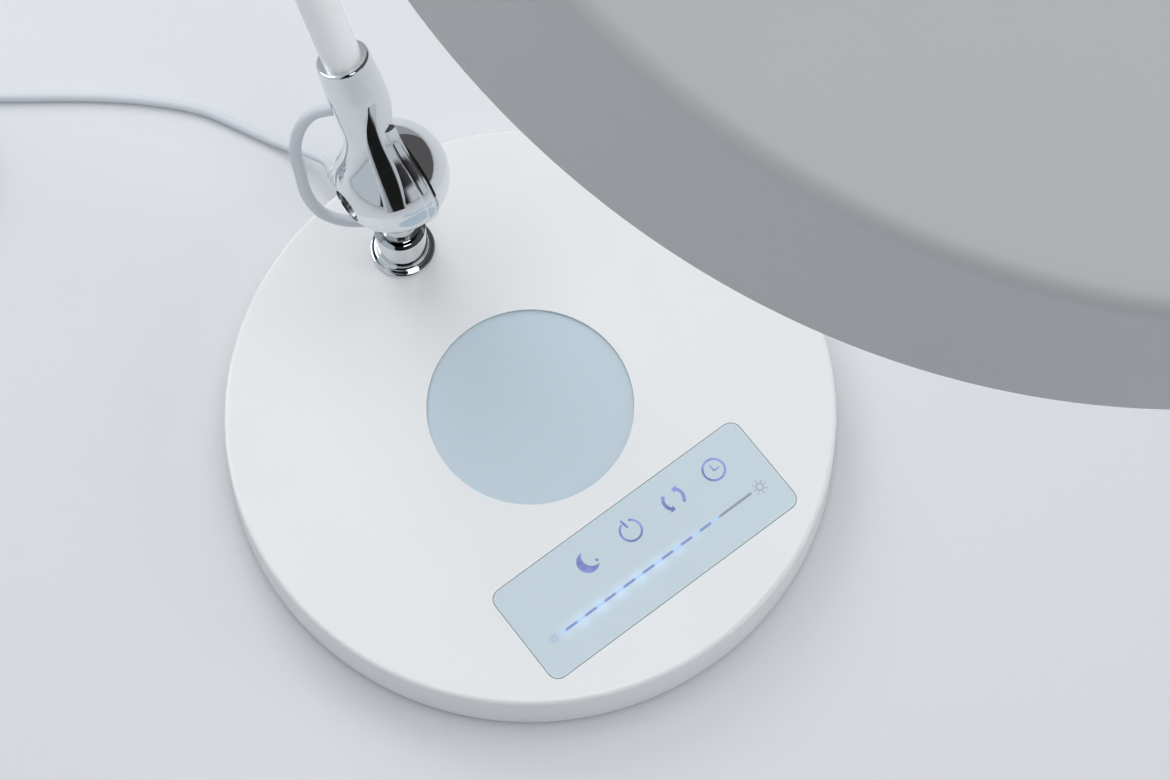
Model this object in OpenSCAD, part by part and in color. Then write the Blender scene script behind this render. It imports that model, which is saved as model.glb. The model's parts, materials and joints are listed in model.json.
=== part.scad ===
// LED desk lamp: a weighted round base with a touch panel, two tubes on split-ball knuckles and a drum head.
// Millimetres, +Z up, the front of the lamp towards -Y, origin on the table under the middle of the base.

/* [Base] */
// Diameter across the top of the base
base_d = 230; // [212:1:270]
// Height of the base above the table
base_h = 24; // [23:0.5:32]
// Extra radius at the foot of the base's side
base_flare = 1; // [0:0.25:3]
// Rounding of the base's upper edge
base_round = 1.8; // [0.6:0.1:2.4]
// Thickness of the base cover's side
cover_wall = 2.6; // [2.6:0.1:4]
// Thickness of the base cover's top
cover_top = 3.6; // [3.4:0.1:4.4]
// Thickness of the plate that closes the base
plate_t = 2; // [1.6:0.1:3]
// Thickness of the steel weight
weight_t = 7; // [4:0.5:8]
// Gap between the weight and the screw bosses
weight_gap = 3; // [1:0.5:10]
// Diameter of each rubber pad
pad_d = 18; // [12:1:20]
// How far the pads stand below the plate
pad_h = 1.2; // [0.8:0.1:2]

/* [Inlay and touch panel] */
// Gap between the round inlay and the touch panel
inlay_gap = 11; // [4:0.5:16]
// Depth of the inlay's face below the top
inlay_drop = 1.2; // [0.4:0.1:1.4]
// Thickness of the inlay
inlay_t = 1.2; // [0.8:0.1:1.6]
// Length of the touch panel
panel_l = 114.6; // [90:0.2:118]
// Width of the touch panel
panel_w = 41.2; // [34:0.2:44]
// Corner radius of the touch panel
panel_r = 4.5; // [2:0.5:8]
// Thickness of the touch panel
panel_t = 1.6; // [1.2:0.1:2.2]
// Gap between the panel's long front edge and the base's rim
panel_inset = 23.8; // [22:0.2:26]
// Width of the ledge that carries the panel
panel_ledge = 4; // [3:0.5:6]
// Thickness of the circuit board under the panel
board_t = 1.6; // [1:0.1:2]

/* [Post] */
// Distance of the post's axis from the base's rim
post_inset = 34; // [26:0.5:40]
// Height of the lower hinge above the table
hinge_z = 91; // [88:0.5:110]
// Diameter of the collar's flange
flange_d = 25; // [24:0.5:32]
// Thickness of the collar's flange
flange_t = 1.8; // [1.2:0.1:3]
// Diameter of the collar's wall
collar_d = 19.5; // [18:0.25:22]
// Height of the collar above the base
collar_h = 20; // [14:0.5:22]
// Diameter of the collar's threaded shank
shank_d = 14; // [13:0.5:16]
// Diameter of the turning stem in the collar
stem_d = 10; // [9:0.5:10.5]
// Diameter of the post's neck where it leaves the collar
post_neck_d = 14.8; // [13.5:0.1:15.5]

/* [Knuckles] */
// Diameter of each split ball
ball_d = 42; // [40:0.5:46]
// Diameter of the neck above a ball
neck_d = 21; // [20:0.1:22]
// Wall of a socket's mouth round its tube
socket_wall = 2.7; // [2.2:0.1:3.2]
// Distance from a ball's middle to the mouth of its socket
socket_end = 62; // [60:0.5:75]
// Depth that a tube sits in its socket
socket_depth = 15; // [10:0.5:15]
// Radius of the hollow that blends the arm-side neck into its ball
blend_r = 25; // [16:0.5:28]
// Distance of the split from the ball's middle, on the right
split_x = 5; // [3:0.25:6]
// Width of the raised lip beside the split
lip_w = 3.8; // [2:0.2:5]
// Height of the raised lip
lip_h = 0.5; // [0.2:0.1:0.8]
// Thickness of the friction washer
washer_t = 1.2; // [0.8:0.1:2]
// Diameter of the friction washer
washer_d = 30; // [20:0.5:34]
// Diameter of the pivot bolt
bolt_d = 6; // [5:0.5:8]
// Diameter of the bolt's head
bolt_head_d = 12.4; // [11:0.2:13]
// Thickness of the bolt's head
bolt_head_t = 4.2; // [3:0.2:5]
// Distance of the bolt head's seat from the ball's middle
bolt_seat = 14.2; // [12:0.2:14.6]

/* [Arms] */
// Outside diameter of the tubes
tube_d = 14; // [13:0.1:14.4]
// Wall of the tubes
tube_wall = 1.3; // [0.8:0.1:2]
// Lower hinge to elbow
lower_len = 420; // [300:1:500]
// Lean of the lower tube to the back
lower_lean = 22; // [0:0.5:30]
// Elbow to head hinge
upper_len = 386; // [300:1:480]
// Lean of the upper tube to the front
upper_lean = 37; // [25:0.5:50]

/* [Head] */
// Diameter of the head at its lower rim
head_d = 244; // [200:1:280]
// How much smaller the head's top is, on each side
head_taper = 6; // [0:0.5:10]
// Height of the head
head_h = 33; // [31:0.5:45]
// Slope of the head, down towards the front
head_tilt = 16; // [0:0.5:20]
// Rounding of the head's upper edge
head_round = 3; // [1:0.25:6]
// Wall of the head's housing
head_wall = 2.2; // [1.8:0.1:3]
// Thickness of the light diffuser
diffuser_t = 2.6; // [2:0.1:4]
// Thickness of the aluminium plate behind the lights
sink_t = 2; // [1.5:0.1:3]
// Thickness of the light board
light_board_t = 1.6; // [1:0.1:2]
// Number of lights on the ring
light_count = 36; // [12:1:48]
// Distance of the ring of lights from the head's rim
light_inset = 42; // [42:1:60]
// Width of the light board's ring
light_board_w = 36; // [24:1:40]
// Length of the head knuckle's neck
head_neck = 50; // [50:0.5:60]

/* [Cables] */
// Diameter of the cable loops at the knuckles
loop_d = 4.6; // [3.6:0.1:5]
// Diameter of the power lead
lead_d = 3.8; // [3:0.1:3.9]
// Diameter of the put-away coil at the middle of its turns
coil_d = 42; // [38:0.5:46]
// Turns of lead side by side in the coil
coil_rows = 3; // [2:1:3]
// Layers of lead in the coil
coil_layers = 4; // [2:1:4]
// Height of the lead where it leaves the base
lead_z = 11; // [9:0.5:12]
// Length of the strain relief outside the base
relief_len = 14; // [12:0.5:24]
// Length of the plug-in adapter
adapter_l = 50; // [40:1:60]
// Width of the adapter
adapter_w = 34; // [28:1:44]
// Height of the adapter
adapter_h = 26; // [24:1:36]

/* [Hidden] */
$fn = 96;

// Clearances: seated pieces, running shafts, balls that turn in cups, dropped-in pieces, turning heads
seat_gap = 0.1;
run_gap = 0.05;
turn_gap = 0.6;
drop_gap = 0.25;
spin_gap = 0.35;
eps = 0.01;
far = 400;

// Base, derived
base_r = base_d / 2;
floor_z = pad_h + plate_t;
ceil_z = base_h - cover_top;
cover_in_r = base_r - cover_wall;
panel_y = base_r - panel_inset - panel_w / 2;
inlay_d = 2 * (panel_y - panel_w / 2 - inlay_gap);
post_y = base_r - post_inset;
boss_r = 4;
boss_ring = cover_in_r - boss_r - 4;
weight_r = boss_ring - boss_r - weight_gap;
pad_ring = boss_ring - pad_d / 2;
pad_sink = 0.6;
screw_r = 1.5;
screw_head_r = 3;
screw_len = 9;
inlay_z = base_h - inlay_drop;
panel_z = base_h - panel_t;
board_z = panel_z - board_t - seat_gap;

// Post, derived
post = [0, post_y, 0];
nut_t = 6;
nut_washer_t = 1.1;
nut_af = shank_d + 7;
clip_t = 1;
clip_room = 0.4;
nut_z = ceil_z - nut_washer_t - nut_t;
shank_end = nut_z - 0.9;
clip_z = shank_end - clip_room - clip_t;
stem_end = clip_z - 1.2;
collar_top = base_h + collar_h;
cup_depth = 3;
neck_foot = collar_top - cup_depth + turn_gap / 2;
wire_bore = loop_d + 1;
chamber_d = neck_d - 9;
post_chamber_d = post_neck_d - 4.4;

// Knuckles, derived
ball_r = ball_d / 2;
neck_r = neck_d / 2;
socket_r = tube_d / 2 + socket_wall;
lip_r = ball_r + lip_h;
cheek_x = split_x + washer_t + 2 * seat_gap;
cup_r = lip_r + turn_gap;
tube_seat = socket_end - socket_depth;
chamber_end = tube_seat - 12;
notch_low = ball_r + 10;
notch_high = notch_low + 12;
bolt_end = ball_r - 5;
loop_hole = loop_d + 1.4;

// Arms, derived: the three hinges in the plane X = 0
hinge = [0, post_y, hinge_z];
elbow = hinge + lower_len * [0, sin(lower_lean), cos(lower_lean)];
wrist = elbow + upper_len * [0, -sin(upper_lean), cos(upper_lean)];
head_turn = 90 + head_tilt;

// Head, derived
head_r = head_d / 2;
head_pad = 2.5;
head_arm = head_r + head_pad + head_neck;
axis_z = head_h / 2;
spigot_d = 12;
head_nut_t = 5;
head_nut_af = 19;
inner_pad = 10;
ledge_z = diffuser_t + 1.4;
ledge_t = 2;
pad_r = min(13, axis_z - ledge_z - 2 * seat_gap);
ledge_w = 3.4;
sink_z = ledge_z + 10;
sink_r = head_r - 12;
light_ring_d = head_d - 2 * light_inset;
post_ring = sink_r - 6;
head_post_r = 4;
light_side = 3;
light_t = 0.8;

// Routes of the cables. Loops: points beside the post-side neck and beside the arm-side neck of a knuckle
loop_low = [[-1.2, 0.8, -45.5], [-4, 2.7, -41.8], [-8.3, 5.6, -39.6], [-15.8, 11.3, -39.6],
  [-22.5, 18.5, -36], [-26, 23.5, -24]];
loop_high = [[-25.2, 21.5, 18], [-20.5, 17, 29.5], [-14, 12.3, 35.5], [-7.2, 6.4, 37.2], [-3.6, 3.2, 39],
  [-1.1, 1, 42.4]];
loop_mid = [-26.5, 25.5, 0];
loop_in = 54;
wire_from = loop_in + 3 * seat_gap;
lead_low = lead_d / 2;
lead_drop = lead_z - lead_low;
lead_exit = base_r + base_flare + relief_len;
lead_route = [for (p = [[0, 0, lead_z], [0, 5, lead_z], [-2.5, 13, lead_low + 0.6 * lead_drop],
  [-6, 21, lead_low + 0.2 * lead_drop], [-10, 29, lead_low], [-16, 41, lead_low], [-24, 56, lead_low],
  [-38, 72, lead_low], [-56, 88, lead_low], [-85, 110, lead_low], [-98, 120, lead_low],
  [-110, 129, lead_low]])
  p + [0, lead_exit + 2 * seat_gap, 0]];
coil_at = [-125, lead_exit + 109];
tie_t = 0.8;
tie_w = 6;
coil_low = tie_t + seat_gap;
coil_w = coil_rows * lead_d;
coil_h = coil_layers * lead_d;
tail_z = coil_low + coil_h - lead_d / 2;
tail_turn = 45;
tail_from = [coil_at[0], coil_at[1], tail_z]
  + (coil_d / 2 + coil_w / 2 - lead_d / 2) * [cos(tail_turn), sin(tail_turn), 0];
tail_to = [tail_from[0] - 34, tail_from[1] + 19, adapter_h / 2];
tail_route = [tail_from, [tail_from[0] - 10, tail_from[1] + 9.5, tail_z],
  [tail_from[0] - 22, tail_from[1] + 16.5, (tail_z + adapter_h / 2) / 2], tail_to];

// Shapes in general use
module rounded_plate(length, width, radius, height) {
  linear_extrude(height) {
    square([length - 2 * radius, width], center = true);
    square([length, width - 2 * radius], center = true);
    for (sx = [-1, 1], sy = [-1, 1])
      translate([sx * (length / 2 - radius), sy * (width / 2 - radius)]) circle(radius);
  }
}

module tube_ring(outer_d, inner_d, height) {
  difference() {
    cylinder(d = outer_d, h = height);
    translate([0, 0, -1]) cylinder(d = inner_d, h = height + 2);
  }
}

module hex_nut(across_flats, bore_d, height) {
  difference() {
    cylinder(d = across_flats / cos(30), h = height, $fn = 6);
    translate([0, 0, -1]) cylinder(d = bore_d, h = height + 2);
  }
}

module along_x(from) {
  translate([from, 0, 0]) rotate([0, 90, 0]) children();
}

module on_ring(count, radius, first = 0) {
  for (i = [0 : count - 1]) rotate([0, 0, first + i * 360 / count]) translate([radius, 0, 0]) children();
}

// Smooth path through points, and a round tube along it
function blend_point(a, b, c, d, t) = 0.5 * (2 * b + (c - a) * t + (2 * a - 5 * b + 4 * c - d) * t * t
  + (3 * b - a - 3 * c + d) * t * t * t);
function pick(points, i) = points[min(max(i, 0), len(points) - 1)];
function smooth_path(points, steps) = [for (i = [0 : len(points) - 2], s = [0 : steps - 1])
  blend_point(pick(points, i - 1), points[i], points[i + 1], pick(points, i + 2), s / steps),
  points[len(points) - 1]];
function unit(v) = v / norm(v);
function heading(path, i) = unit(pick(path, i + 1) - pick(path, i - 1));
function square_to(v, t) = unit(v - (v * t) * t);
function carried(path, side) = [for (i = 0, n = square_to(side, heading(path, 0)); i < len(path);
  i = i + 1, n = square_to(n, heading(path, i))) n];

module round_tube(path, diameter, sides, side) {
  last = len(path) - 1;
  across = carried(path, side);
  points = [for (i = [0 : last], k = [0 : sides - 1]) let (a = k * 360 / sides, n = across[i])
    path[i] + diameter / 2 * (cos(a) * n + sin(a) * cross(n, heading(path, i)))];
  skin = [for (i = [0 : last - 1], k = [0 : sides - 1]) let (m = (k + 1) % sides)
    [i * sides + k, (i + 1) * sides + k, (i + 1) * sides + m, i * sides + m]];
  ends = [[for (k = [0 : sides - 1]) k], [for (k = [0 : sides - 1]) last * sides + sides - 1 - k]];
  polyhedron(points = points, faces = concat(skin, ends), convexity = 6);
}

// Frames of the moving parts
module at_post() {
  translate(post) children();
}

module at_hinge() {
  translate(hinge) children();
}

module on_lower_arm() {
  translate(hinge) rotate([-lower_lean, 0, 0]) children();
}

module at_elbow() {
  translate(elbow) rotate([-lower_lean, 0, 0]) children();
}

module on_upper_arm() {
  translate(elbow) rotate([upper_lean, 0, 0]) children();
}

module at_wrist() {
  translate(wrist) rotate([upper_lean, 0, 0]) children();
}

module on_head_neck() {
  translate(wrist) rotate([head_turn, 0, 0]) children();
}

module in_head() {
  on_head_neck() translate([0, -axis_z, head_arm]) rotate([-90, 0, 0]) children();
}

// Base
module base_cover_profile() {
  difference() {
    union() {
      polygon([[0, pad_h], [base_r + base_flare, pad_h], [base_r, base_h - base_round],
        [base_r - base_round, base_h - base_round], [base_r - base_round, base_h], [0, base_h]]);
      translate([base_r - base_round, base_h - base_round]) circle(base_round);
    }
    translate([-1, 0]) square([cover_in_r + 1, ceil_z]);
    translate([-far, 0]) square([far, base_h + 1]);
  }
}

module base_cover() {
  color("white") difference() {
    union() {
      rotate_extrude() base_cover_profile();
      on_ring(4, boss_ring, 45) translate([0, 0, floor_z]) cylinder(r = boss_r, h = ceil_z - floor_z + 1);
    }
    on_ring(4, boss_ring, 45) translate([0, 0, floor_z - 1])
      cylinder(r = screw_r + seat_gap, h = screw_len + 1);
    translate([0, 0, inlay_z - inlay_t]) cylinder(d = inlay_d, h = base_h);
    translate([0, -panel_y, panel_z]) rounded_plate(panel_l, panel_w, panel_r, base_h);
    translate([0, -panel_y, 0])
      rounded_plate(panel_l - 2 * panel_ledge, panel_w - 2 * panel_ledge, panel_r / 2, base_h);
    at_post() cylinder(d = shank_d + 2 * seat_gap, h = base_h + 1);
    translate([0, base_r - cover_wall - 5, lead_z]) rotate([-90, 0, 0]) cylinder(d = lead_d + 4, h = 20);
  }
}

// Four pads near the rim and one in the middle
module pad_places() {
  children();
  on_ring(4, pad_ring) children();
}

module bottom_plate() {
  color("gainsboro") difference() {
    translate([0, 0, pad_h]) cylinder(r = cover_in_r - drop_gap, h = plate_t);
    pad_places() cylinder(d = pad_d + 2 * seat_gap, h = pad_h + pad_sink);
    on_ring(4, boss_ring, 45) {
      cylinder(r = screw_r + drop_gap, h = base_h);
      cylinder(r = screw_head_r + drop_gap, h = pad_h + plate_t / 2);
    }
  }
}

module base_weight() {
  color("dimgray") difference() {
    translate([0, 0, floor_z]) cylinder(r = weight_r, h = weight_t);
    at_post() cylinder(d = nut_af / cos(30) + 3, h = base_h);
  }
}

module rubber_pads() {
  color("darkgray") pad_places() cylinder(d = pad_d, h = pad_h + pad_sink);
}

module base_screws() {
  color("silver") on_ring(4, boss_ring, 45) {
    translate([0, 0, pad_h + plate_t / 2]) cylinder(r = screw_r, h = screw_len - 2);
    translate([0, 0, pad_h + 0.2]) difference() {
      cylinder(r = screw_head_r, h = plate_t / 2 - 0.2);
      for (a = [0, 90]) rotate([0, 0, a]) translate([-2, -0.4, -1]) cube([4, 0.8, 1.4]);
    }
  }
}

module round_inlay() {
  color("lightsteelblue") translate([0, 0, inlay_z - inlay_t])
    cylinder(d = inlay_d - 2 * seat_gap, h = inlay_t);
}

module touch_panel() {
  color("lightsteelblue") translate([0, -panel_y, panel_z])
    rounded_plate(panel_l - 2 * drop_gap, panel_w - 2 * drop_gap, panel_r - drop_gap, panel_t);
}

module touch_board() {
  window_l = panel_l - 2 * panel_ledge;
  window_w = panel_w - 2 * panel_ledge;
  color("seagreen") translate([0, -panel_y, board_z]) {
    translate([-window_l / 2 + 1, -window_w / 2 + 1, 0]) cube([window_l - 2, window_w - 2, board_t]);
    translate([-8, -5, -1.4]) cube([12, 10, 1.5]);
    translate([window_l / 2 - 16, -4, -4]) cube([10, 8, 4.1]);
  }
}

// Post and its collar
module post_collar() {
  foot_r = flange_d / 2;
  wall_r = collar_d / 2;
  step_r = (foot_r + wall_r) / 2;
  step_t = 1.2;
  foot_round = flange_t / 2;
  color("silver") at_post() difference() {
    rotate_extrude() {
      translate([0, base_h]) square([foot_r - foot_round, flange_t]);
      translate([foot_r - foot_round, base_h + foot_round]) circle(foot_round);
      translate([0, base_h]) square([step_r, flange_t + step_t]);
      difference() {
        translate([0, base_h + flange_t]) square([step_r, step_t + step_r - wall_r]);
        translate([step_r, base_h + flange_t + step_t + step_r - wall_r]) circle(step_r - wall_r);
      }
      translate([0, base_h]) square([wall_r, collar_h]);
      translate([0, shank_end]) square([shank_d / 2, base_h - shank_end + 1]);
    }
    translate([0, 0, shank_end - 1]) cylinder(d = stem_d + 2 * run_gap, h = collar_top);
    translate([0, 0, collar_top - cup_depth]) cylinder(d = post_neck_d + 2 * turn_gap, h = collar_h);
  }
}

module collar_washer() {
  color("silver") at_post() translate([0, 0, nut_z + nut_t])
    tube_ring(nut_af / cos(30), shank_d + 2 * seat_gap, nut_washer_t);
}

module collar_nut() {
  color("silver") at_post() translate([0, 0, nut_z]) hex_nut(nut_af, shank_d + 2 * run_gap, nut_t);
}

module post_clip() {
  color("dimgray") at_post() translate([0, 0, clip_z])
    tube_ring(stem_d + 5, stem_d - 1.6 + 2 * run_gap, clip_t);
}

// Parts of a knuckle, its hinge along X and its neck along Z
module neck_blend(radius) {
  middle = [neck_r + radius, sqrt(pow(ball_r + radius, 2) - pow(neck_r + radius, 2))];
  difference() {
    polygon([[0, 0], middle * ball_r / (ball_r + radius), middle, [neck_r, middle[1]], [0, middle[1]]]);
    translate(middle) circle(radius);
  }
}

// Raised lip on the cut edge, one outline from the ball up the hollow of the neck
module split_lip(blend) {
  steps = 60;
  lip_top = notch_low - lip_h;
  hollow_r = blend - lip_h;
  middle = [neck_r + blend, sqrt(pow(ball_r + blend, 2) - pow(neck_r + blend, 2))];
  meet = atan2(middle[1], middle[0]);
  stop = asin(max(middle[1] - lip_top, 0) / hollow_r);
  round_part = [for (i = [0 : steps]) let (a = -90 + i * (meet + 90) / steps) lip_r * [cos(a), sin(a)]];
  hollow_part = [for (i = [1 : steps / 2]) let (a = 180 + meet + i * (stop - meet) * 2 / steps)
    middle + hollow_r * [cos(a), sin(a)]];
  straight_part = middle[1] < lip_top ? [[neck_r + lip_h, lip_top]] : [];
  side = concat(round_part, hollow_part, straight_part);
  other = [for (i = [len(side) - 1 : -1 : 1]) [-side[i][0], side[i][1]]];
  translate([split_x - lip_w, 0, 0]) rotate([90, 0, 90]) linear_extrude(lip_w + 1)
    polygon(concat(side, other));
}

// Short cone between a plain neck and its ball
module neck_cone() {
  foot_r = neck_r + 1.8;
  foot_z = sqrt(ball_r * ball_r - foot_r * foot_r) - 0.6;
  polygon([[0, 0], [foot_r, foot_z], [neck_r, foot_z + 7], [0, foot_z + 7]]);
}

module socket_profile(mouth) {
  lip_round = 1;
  polygon([[0, 0], [neck_r, 0], [neck_r, mouth - 14], [socket_r, mouth - lip_round],
    [socket_r - lip_round, mouth - lip_round], [socket_r - lip_round, mouth], [0, mouth]]);
  translate([socket_r - lip_round, mouth - lip_round]) circle(lip_round);
}

module tube_socket() {
  translate([0, 0, tube_seat]) cylinder(d = tube_d + 2 * run_gap, h = far);
  translate([0, 0, chamber_end]) cylinder(d = chamber_d, h = far / 2);
}

// Hole in a neck for a cable that leaves it from one point towards another
module loop_outlet(inner, outer) {
  way = outer - inner;
  lead_in = 3;
  translate(inner) rotate([0, atan2(norm([way[0], way[1]]), way[2]), atan2(way[1], way[0])])
    translate([0, 0, -lead_in]) cylinder(d = loop_hole, h = neck_d);
}

module arm_side(mouth, blend) {
  difference() {
    union() {
      rotate_extrude() {
        neck_blend(blend);
        socket_profile(mouth);
      }
      sphere(ball_r);
      split_lip(blend);
    }
    rotate([90, 0, 0]) linear_extrude(far, center = true) polygon([[split_x, -far], [split_x, notch_low],
      [neck_r + 0.8, notch_high], [far, notch_high], [far, -far]]);
    along_x(-far / 2) cylinder(d = bolt_d + 2 * run_gap, h = far);
    along_x(-far / 2) cylinder(d = bolt_head_d + 2 * spin_gap, h = far / 2 - bolt_seat);
    loop_outlet(loop_high[4], loop_high[3]);
  }
}

// What the arm side and its bolt need of the post side
module ball_cup() {
  difference() {
    sphere(cup_r);
    translate([cheek_x, -far / 2, -far / 2]) cube(far);
  }
  along_x(0) cylinder(d = bolt_d + 2 * run_gap, h = bolt_end + seat_gap);
}

module tube_side() {
  difference() {
    union() {
      sphere(ball_r);
      mirror([0, 0, 1]) rotate_extrude() {
        neck_cone();
        socket_profile(socket_end);
      }
    }
    ball_cup();
    mirror([0, 0, 1]) tube_socket();
    loop_outlet(loop_low[1], loop_low[2]);
  }
}

module pivot_bolt() {
  color("silver") difference() {
    union() {
      along_x(-bolt_seat + seat_gap) cylinder(d = bolt_d, h = bolt_seat + bolt_end - seat_gap);
      along_x(-bolt_seat - bolt_head_t) cylinder(d = bolt_head_d, h = bolt_head_t - seat_gap);
      along_x(-bolt_seat - seat_gap - eps) cylinder(d = bolt_d, h = 3 * seat_gap);
    }
    along_x(-far) cylinder(d = bolt_d - 0.6, h = far - bolt_seat - bolt_head_t / 2, $fn = 6);
  }
}

module friction_washer() {
  color("dimgray") along_x(split_x + seat_gap) tube_ring(washer_d, bolt_d + 4 * run_gap, washer_t);
}

// Lower hinge
module post_knuckle() {
  crown_r = post_neck_d / 2 + 3.1;
  crown_z = hinge_z - ball_r + 1;
  groove_d = stem_d - 1.6;
  color("silver") difference() {
    union() {
      at_hinge() sphere(ball_r);
      at_post() rotate_extrude() {
        polygon([[0, neck_foot], [post_neck_d / 2, neck_foot], [post_neck_d / 2, collar_top + 2],
          [crown_r, crown_z], [0, crown_z]]);
        translate([0, stem_end]) square([stem_d / 2, neck_foot - stem_end + 1]);
      }
    }
    at_hinge() {
      ball_cup();
      loop_outlet(loop_low[1], loop_low[2]);
    }
    at_post() {
      translate([0, 0, stem_end - 1]) cylinder(d = wire_bore, h = collar_top - stem_end);
      translate([0, 0, neck_foot + 1]) cylinder(d = post_chamber_d, h = hinge_z - ball_r - neck_foot - 12);
      translate([0, 0, clip_z - run_gap]) tube_ring(stem_d + 1, groove_d, clip_t + 2 * run_gap);
    }
  }
}

module base_bolt() {
  at_hinge() pivot_bolt();
}

module base_friction_washer() {
  at_hinge() friction_washer();
}

// Lower arm
module lower_knuckle() {
  color("silver") on_lower_arm() difference() {
    arm_side(socket_end, blend_r);
    tube_socket();
  }
}

module lower_tube() {
  color("white") on_lower_arm() translate([0, 0, tube_seat])
    tube_ring(tube_d, tube_d - 2 * tube_wall, lower_len - 2 * tube_seat);
}

module lower_wire() {
  color("whitesmoke") on_lower_arm() translate([0, 0, wire_from])
    cylinder(d = loop_d, h = lower_len - 2 * wire_from);
}

module elbow_lower_knuckle() {
  color("silver") at_elbow() tube_side();
}

module elbow_bolt() {
  at_elbow() pivot_bolt();
}

module elbow_friction_washer() {
  at_elbow() friction_washer();
}

// Upper arm
module elbow_upper_knuckle() {
  color("silver") on_upper_arm() difference() {
    arm_side(socket_end, blend_r);
    tube_socket();
  }
}

module upper_tube() {
  color("white") on_upper_arm() translate([0, 0, tube_seat])
    tube_ring(tube_d, tube_d - 2 * tube_wall, upper_len - 2 * tube_seat);
}

module upper_wire() {
  color("whitesmoke") on_upper_arm() translate([0, 0, wire_from])
    cylinder(d = loop_d, h = upper_len - 2 * wire_from);
}

module head_upper_knuckle() {
  color("silver") at_wrist() tube_side();
}

module head_bolt() {
  at_wrist() pivot_bolt();
}

module head_friction_washer() {
  at_wrist() friction_washer();
}

// Head
module head_knuckle() {
  spigot_len = head_pad + inner_pad + head_nut_t + 3;
  color("silver") on_head_neck() difference() {
    union() {
      arm_side(head_neck, blend_r);
      translate([0, 0, head_neck - 1]) cylinder(d = spigot_d, h = spigot_len + 1);
    }
    translate([0, 0, chamber_end]) cylinder(d = chamber_d, h = head_neck - chamber_end - 3);
    translate([0, 0, chamber_end]) cylinder(d = wire_bore, h = far);
  }
}

module head_nut() {
  color("silver") on_head_neck() translate([0, 0, head_neck + head_pad + inner_pad])
    hex_nut(head_nut_af, spigot_d + 2 * run_gap, head_nut_t);
}

module head_wall_profile(inset, round) {
  top_r = head_r - head_taper - inset;
  top_z = head_h - inset;
  polygon([[0, 0], [head_r - inset, 0], [top_r, top_z - round], [top_r - round, top_z - round],
    [top_r - round, top_z], [0, top_z]]);
  translate([top_r - round, top_z - round]) circle(round);
}

module head_housing() {
  lower_r = head_r - head_wall;
  color("white") in_head() difference() {
    union() {
      rotate_extrude() difference() {
        head_wall_profile(0, head_round);
        difference() {
          head_wall_profile(head_wall, max(head_round - head_wall, 0.4));
          translate([lower_r - ledge_w, ledge_z]) square([far, ledge_t]);
        }
        translate([0, -1]) square([lower_r, 1 + eps]);
      }
      translate([0, head_r - inner_pad, axis_z]) rotate([-90, 0, 0])
        cylinder(r = pad_r, h = inner_pad + head_pad);
      on_ring(4, post_ring, 45) translate([0, 0, sink_z + sink_t])
        cylinder(r = head_post_r, h = head_h - head_wall - sink_z - sink_t + 1);
    }
    translate([0, head_r - far / 2, axis_z]) rotate([-90, 0, 0])
      cylinder(d = spigot_d + 2 * seat_gap, h = far);
    on_ring(4, post_ring, 45) translate([0, 0, sink_z]) cylinder(r = screw_r + seat_gap, h = screw_len + 1);
  }
}

module heat_sink() {
  color("lightgray") in_head() difference() {
    translate([0, 0, sink_z]) cylinder(r = sink_r, h = sink_t);
    translate([-pad_r - 1, head_r - inner_pad - head_nut_t - 6, 0]) cube([2 * pad_r + 2, far, head_h]);
    on_ring(4, post_ring, 45) cylinder(r = screw_r + drop_gap, h = head_h);
  }
}

module light_board() {
  color("whitesmoke") in_head() translate([0, 0, sink_z - light_board_t])
    tube_ring(light_ring_d + light_board_w, light_ring_d - light_board_w, light_board_t);
}

module lights() {
  color("lemonchiffon") in_head() on_ring(light_count, light_ring_d / 2)
    translate([-light_side / 2, -light_side / 2, sink_z - light_board_t - light_t])
      cube([light_side, light_side, light_t]);
}

module light_driver() {
  driver_l = 64;
  driver_w = 30;
  driver_h = min(11, head_h - head_wall - sink_z - sink_t - 2);
  color("dimgray") in_head() translate([-driver_l / 2, -driver_w / 2, sink_z + sink_t])
    cube([driver_l, driver_w, driver_h]);
}

module diffuser() {
  color("ivory") in_head() translate([0, 0, ledge_z - diffuser_t - seat_gap])
    cylinder(r = head_r - head_wall - 3 * drop_gap - head_taper * ledge_z / head_h, h = diffuser_t);
}

module head_screws() {
  color("silver") in_head() on_ring(4, post_ring, 45) {
    translate([0, 0, sink_z - eps]) cylinder(r = screw_r, h = screw_len - 1);
    translate([0, 0, sink_z - 1.8]) difference() {
      cylinder(r = screw_head_r, h = 1.8);
      for (a = [0, 90]) rotate([0, 0, a]) translate([-2, -0.4, -1]) cube([4, 0.8, 1.8]);
    }
  }
}

// Cable loops: in at the post-side neck, round the ball and out at the arm-side neck
function turned(points, angle) = [for (p = points)
  [p[0], p[1] * cos(angle) - p[2] * sin(angle), p[1] * sin(angle) + p[2] * cos(angle)]];
function loop_points(angle) = concat([[0, 0, -loop_in], [0, 0, -loop_in + 4]], loop_low,
  turned([loop_mid], angle / 2),
  turned(concat(loop_high, [[0, 0, loop_in - 7], [0, 0, loop_in]]), angle));

module cable_loop(angle) {
  color("white") round_tube(smooth_path(loop_points(angle), 4), loop_d, 10, [1, 1, 0]);
}

module base_loop() {
  at_hinge() cable_loop(-lower_lean);
}

module elbow_loop() {
  at_elbow() cable_loop(lower_lean + upper_lean);
}

module head_loop() {
  at_wrist() cable_loop(head_turn - upper_lean);
}

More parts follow.
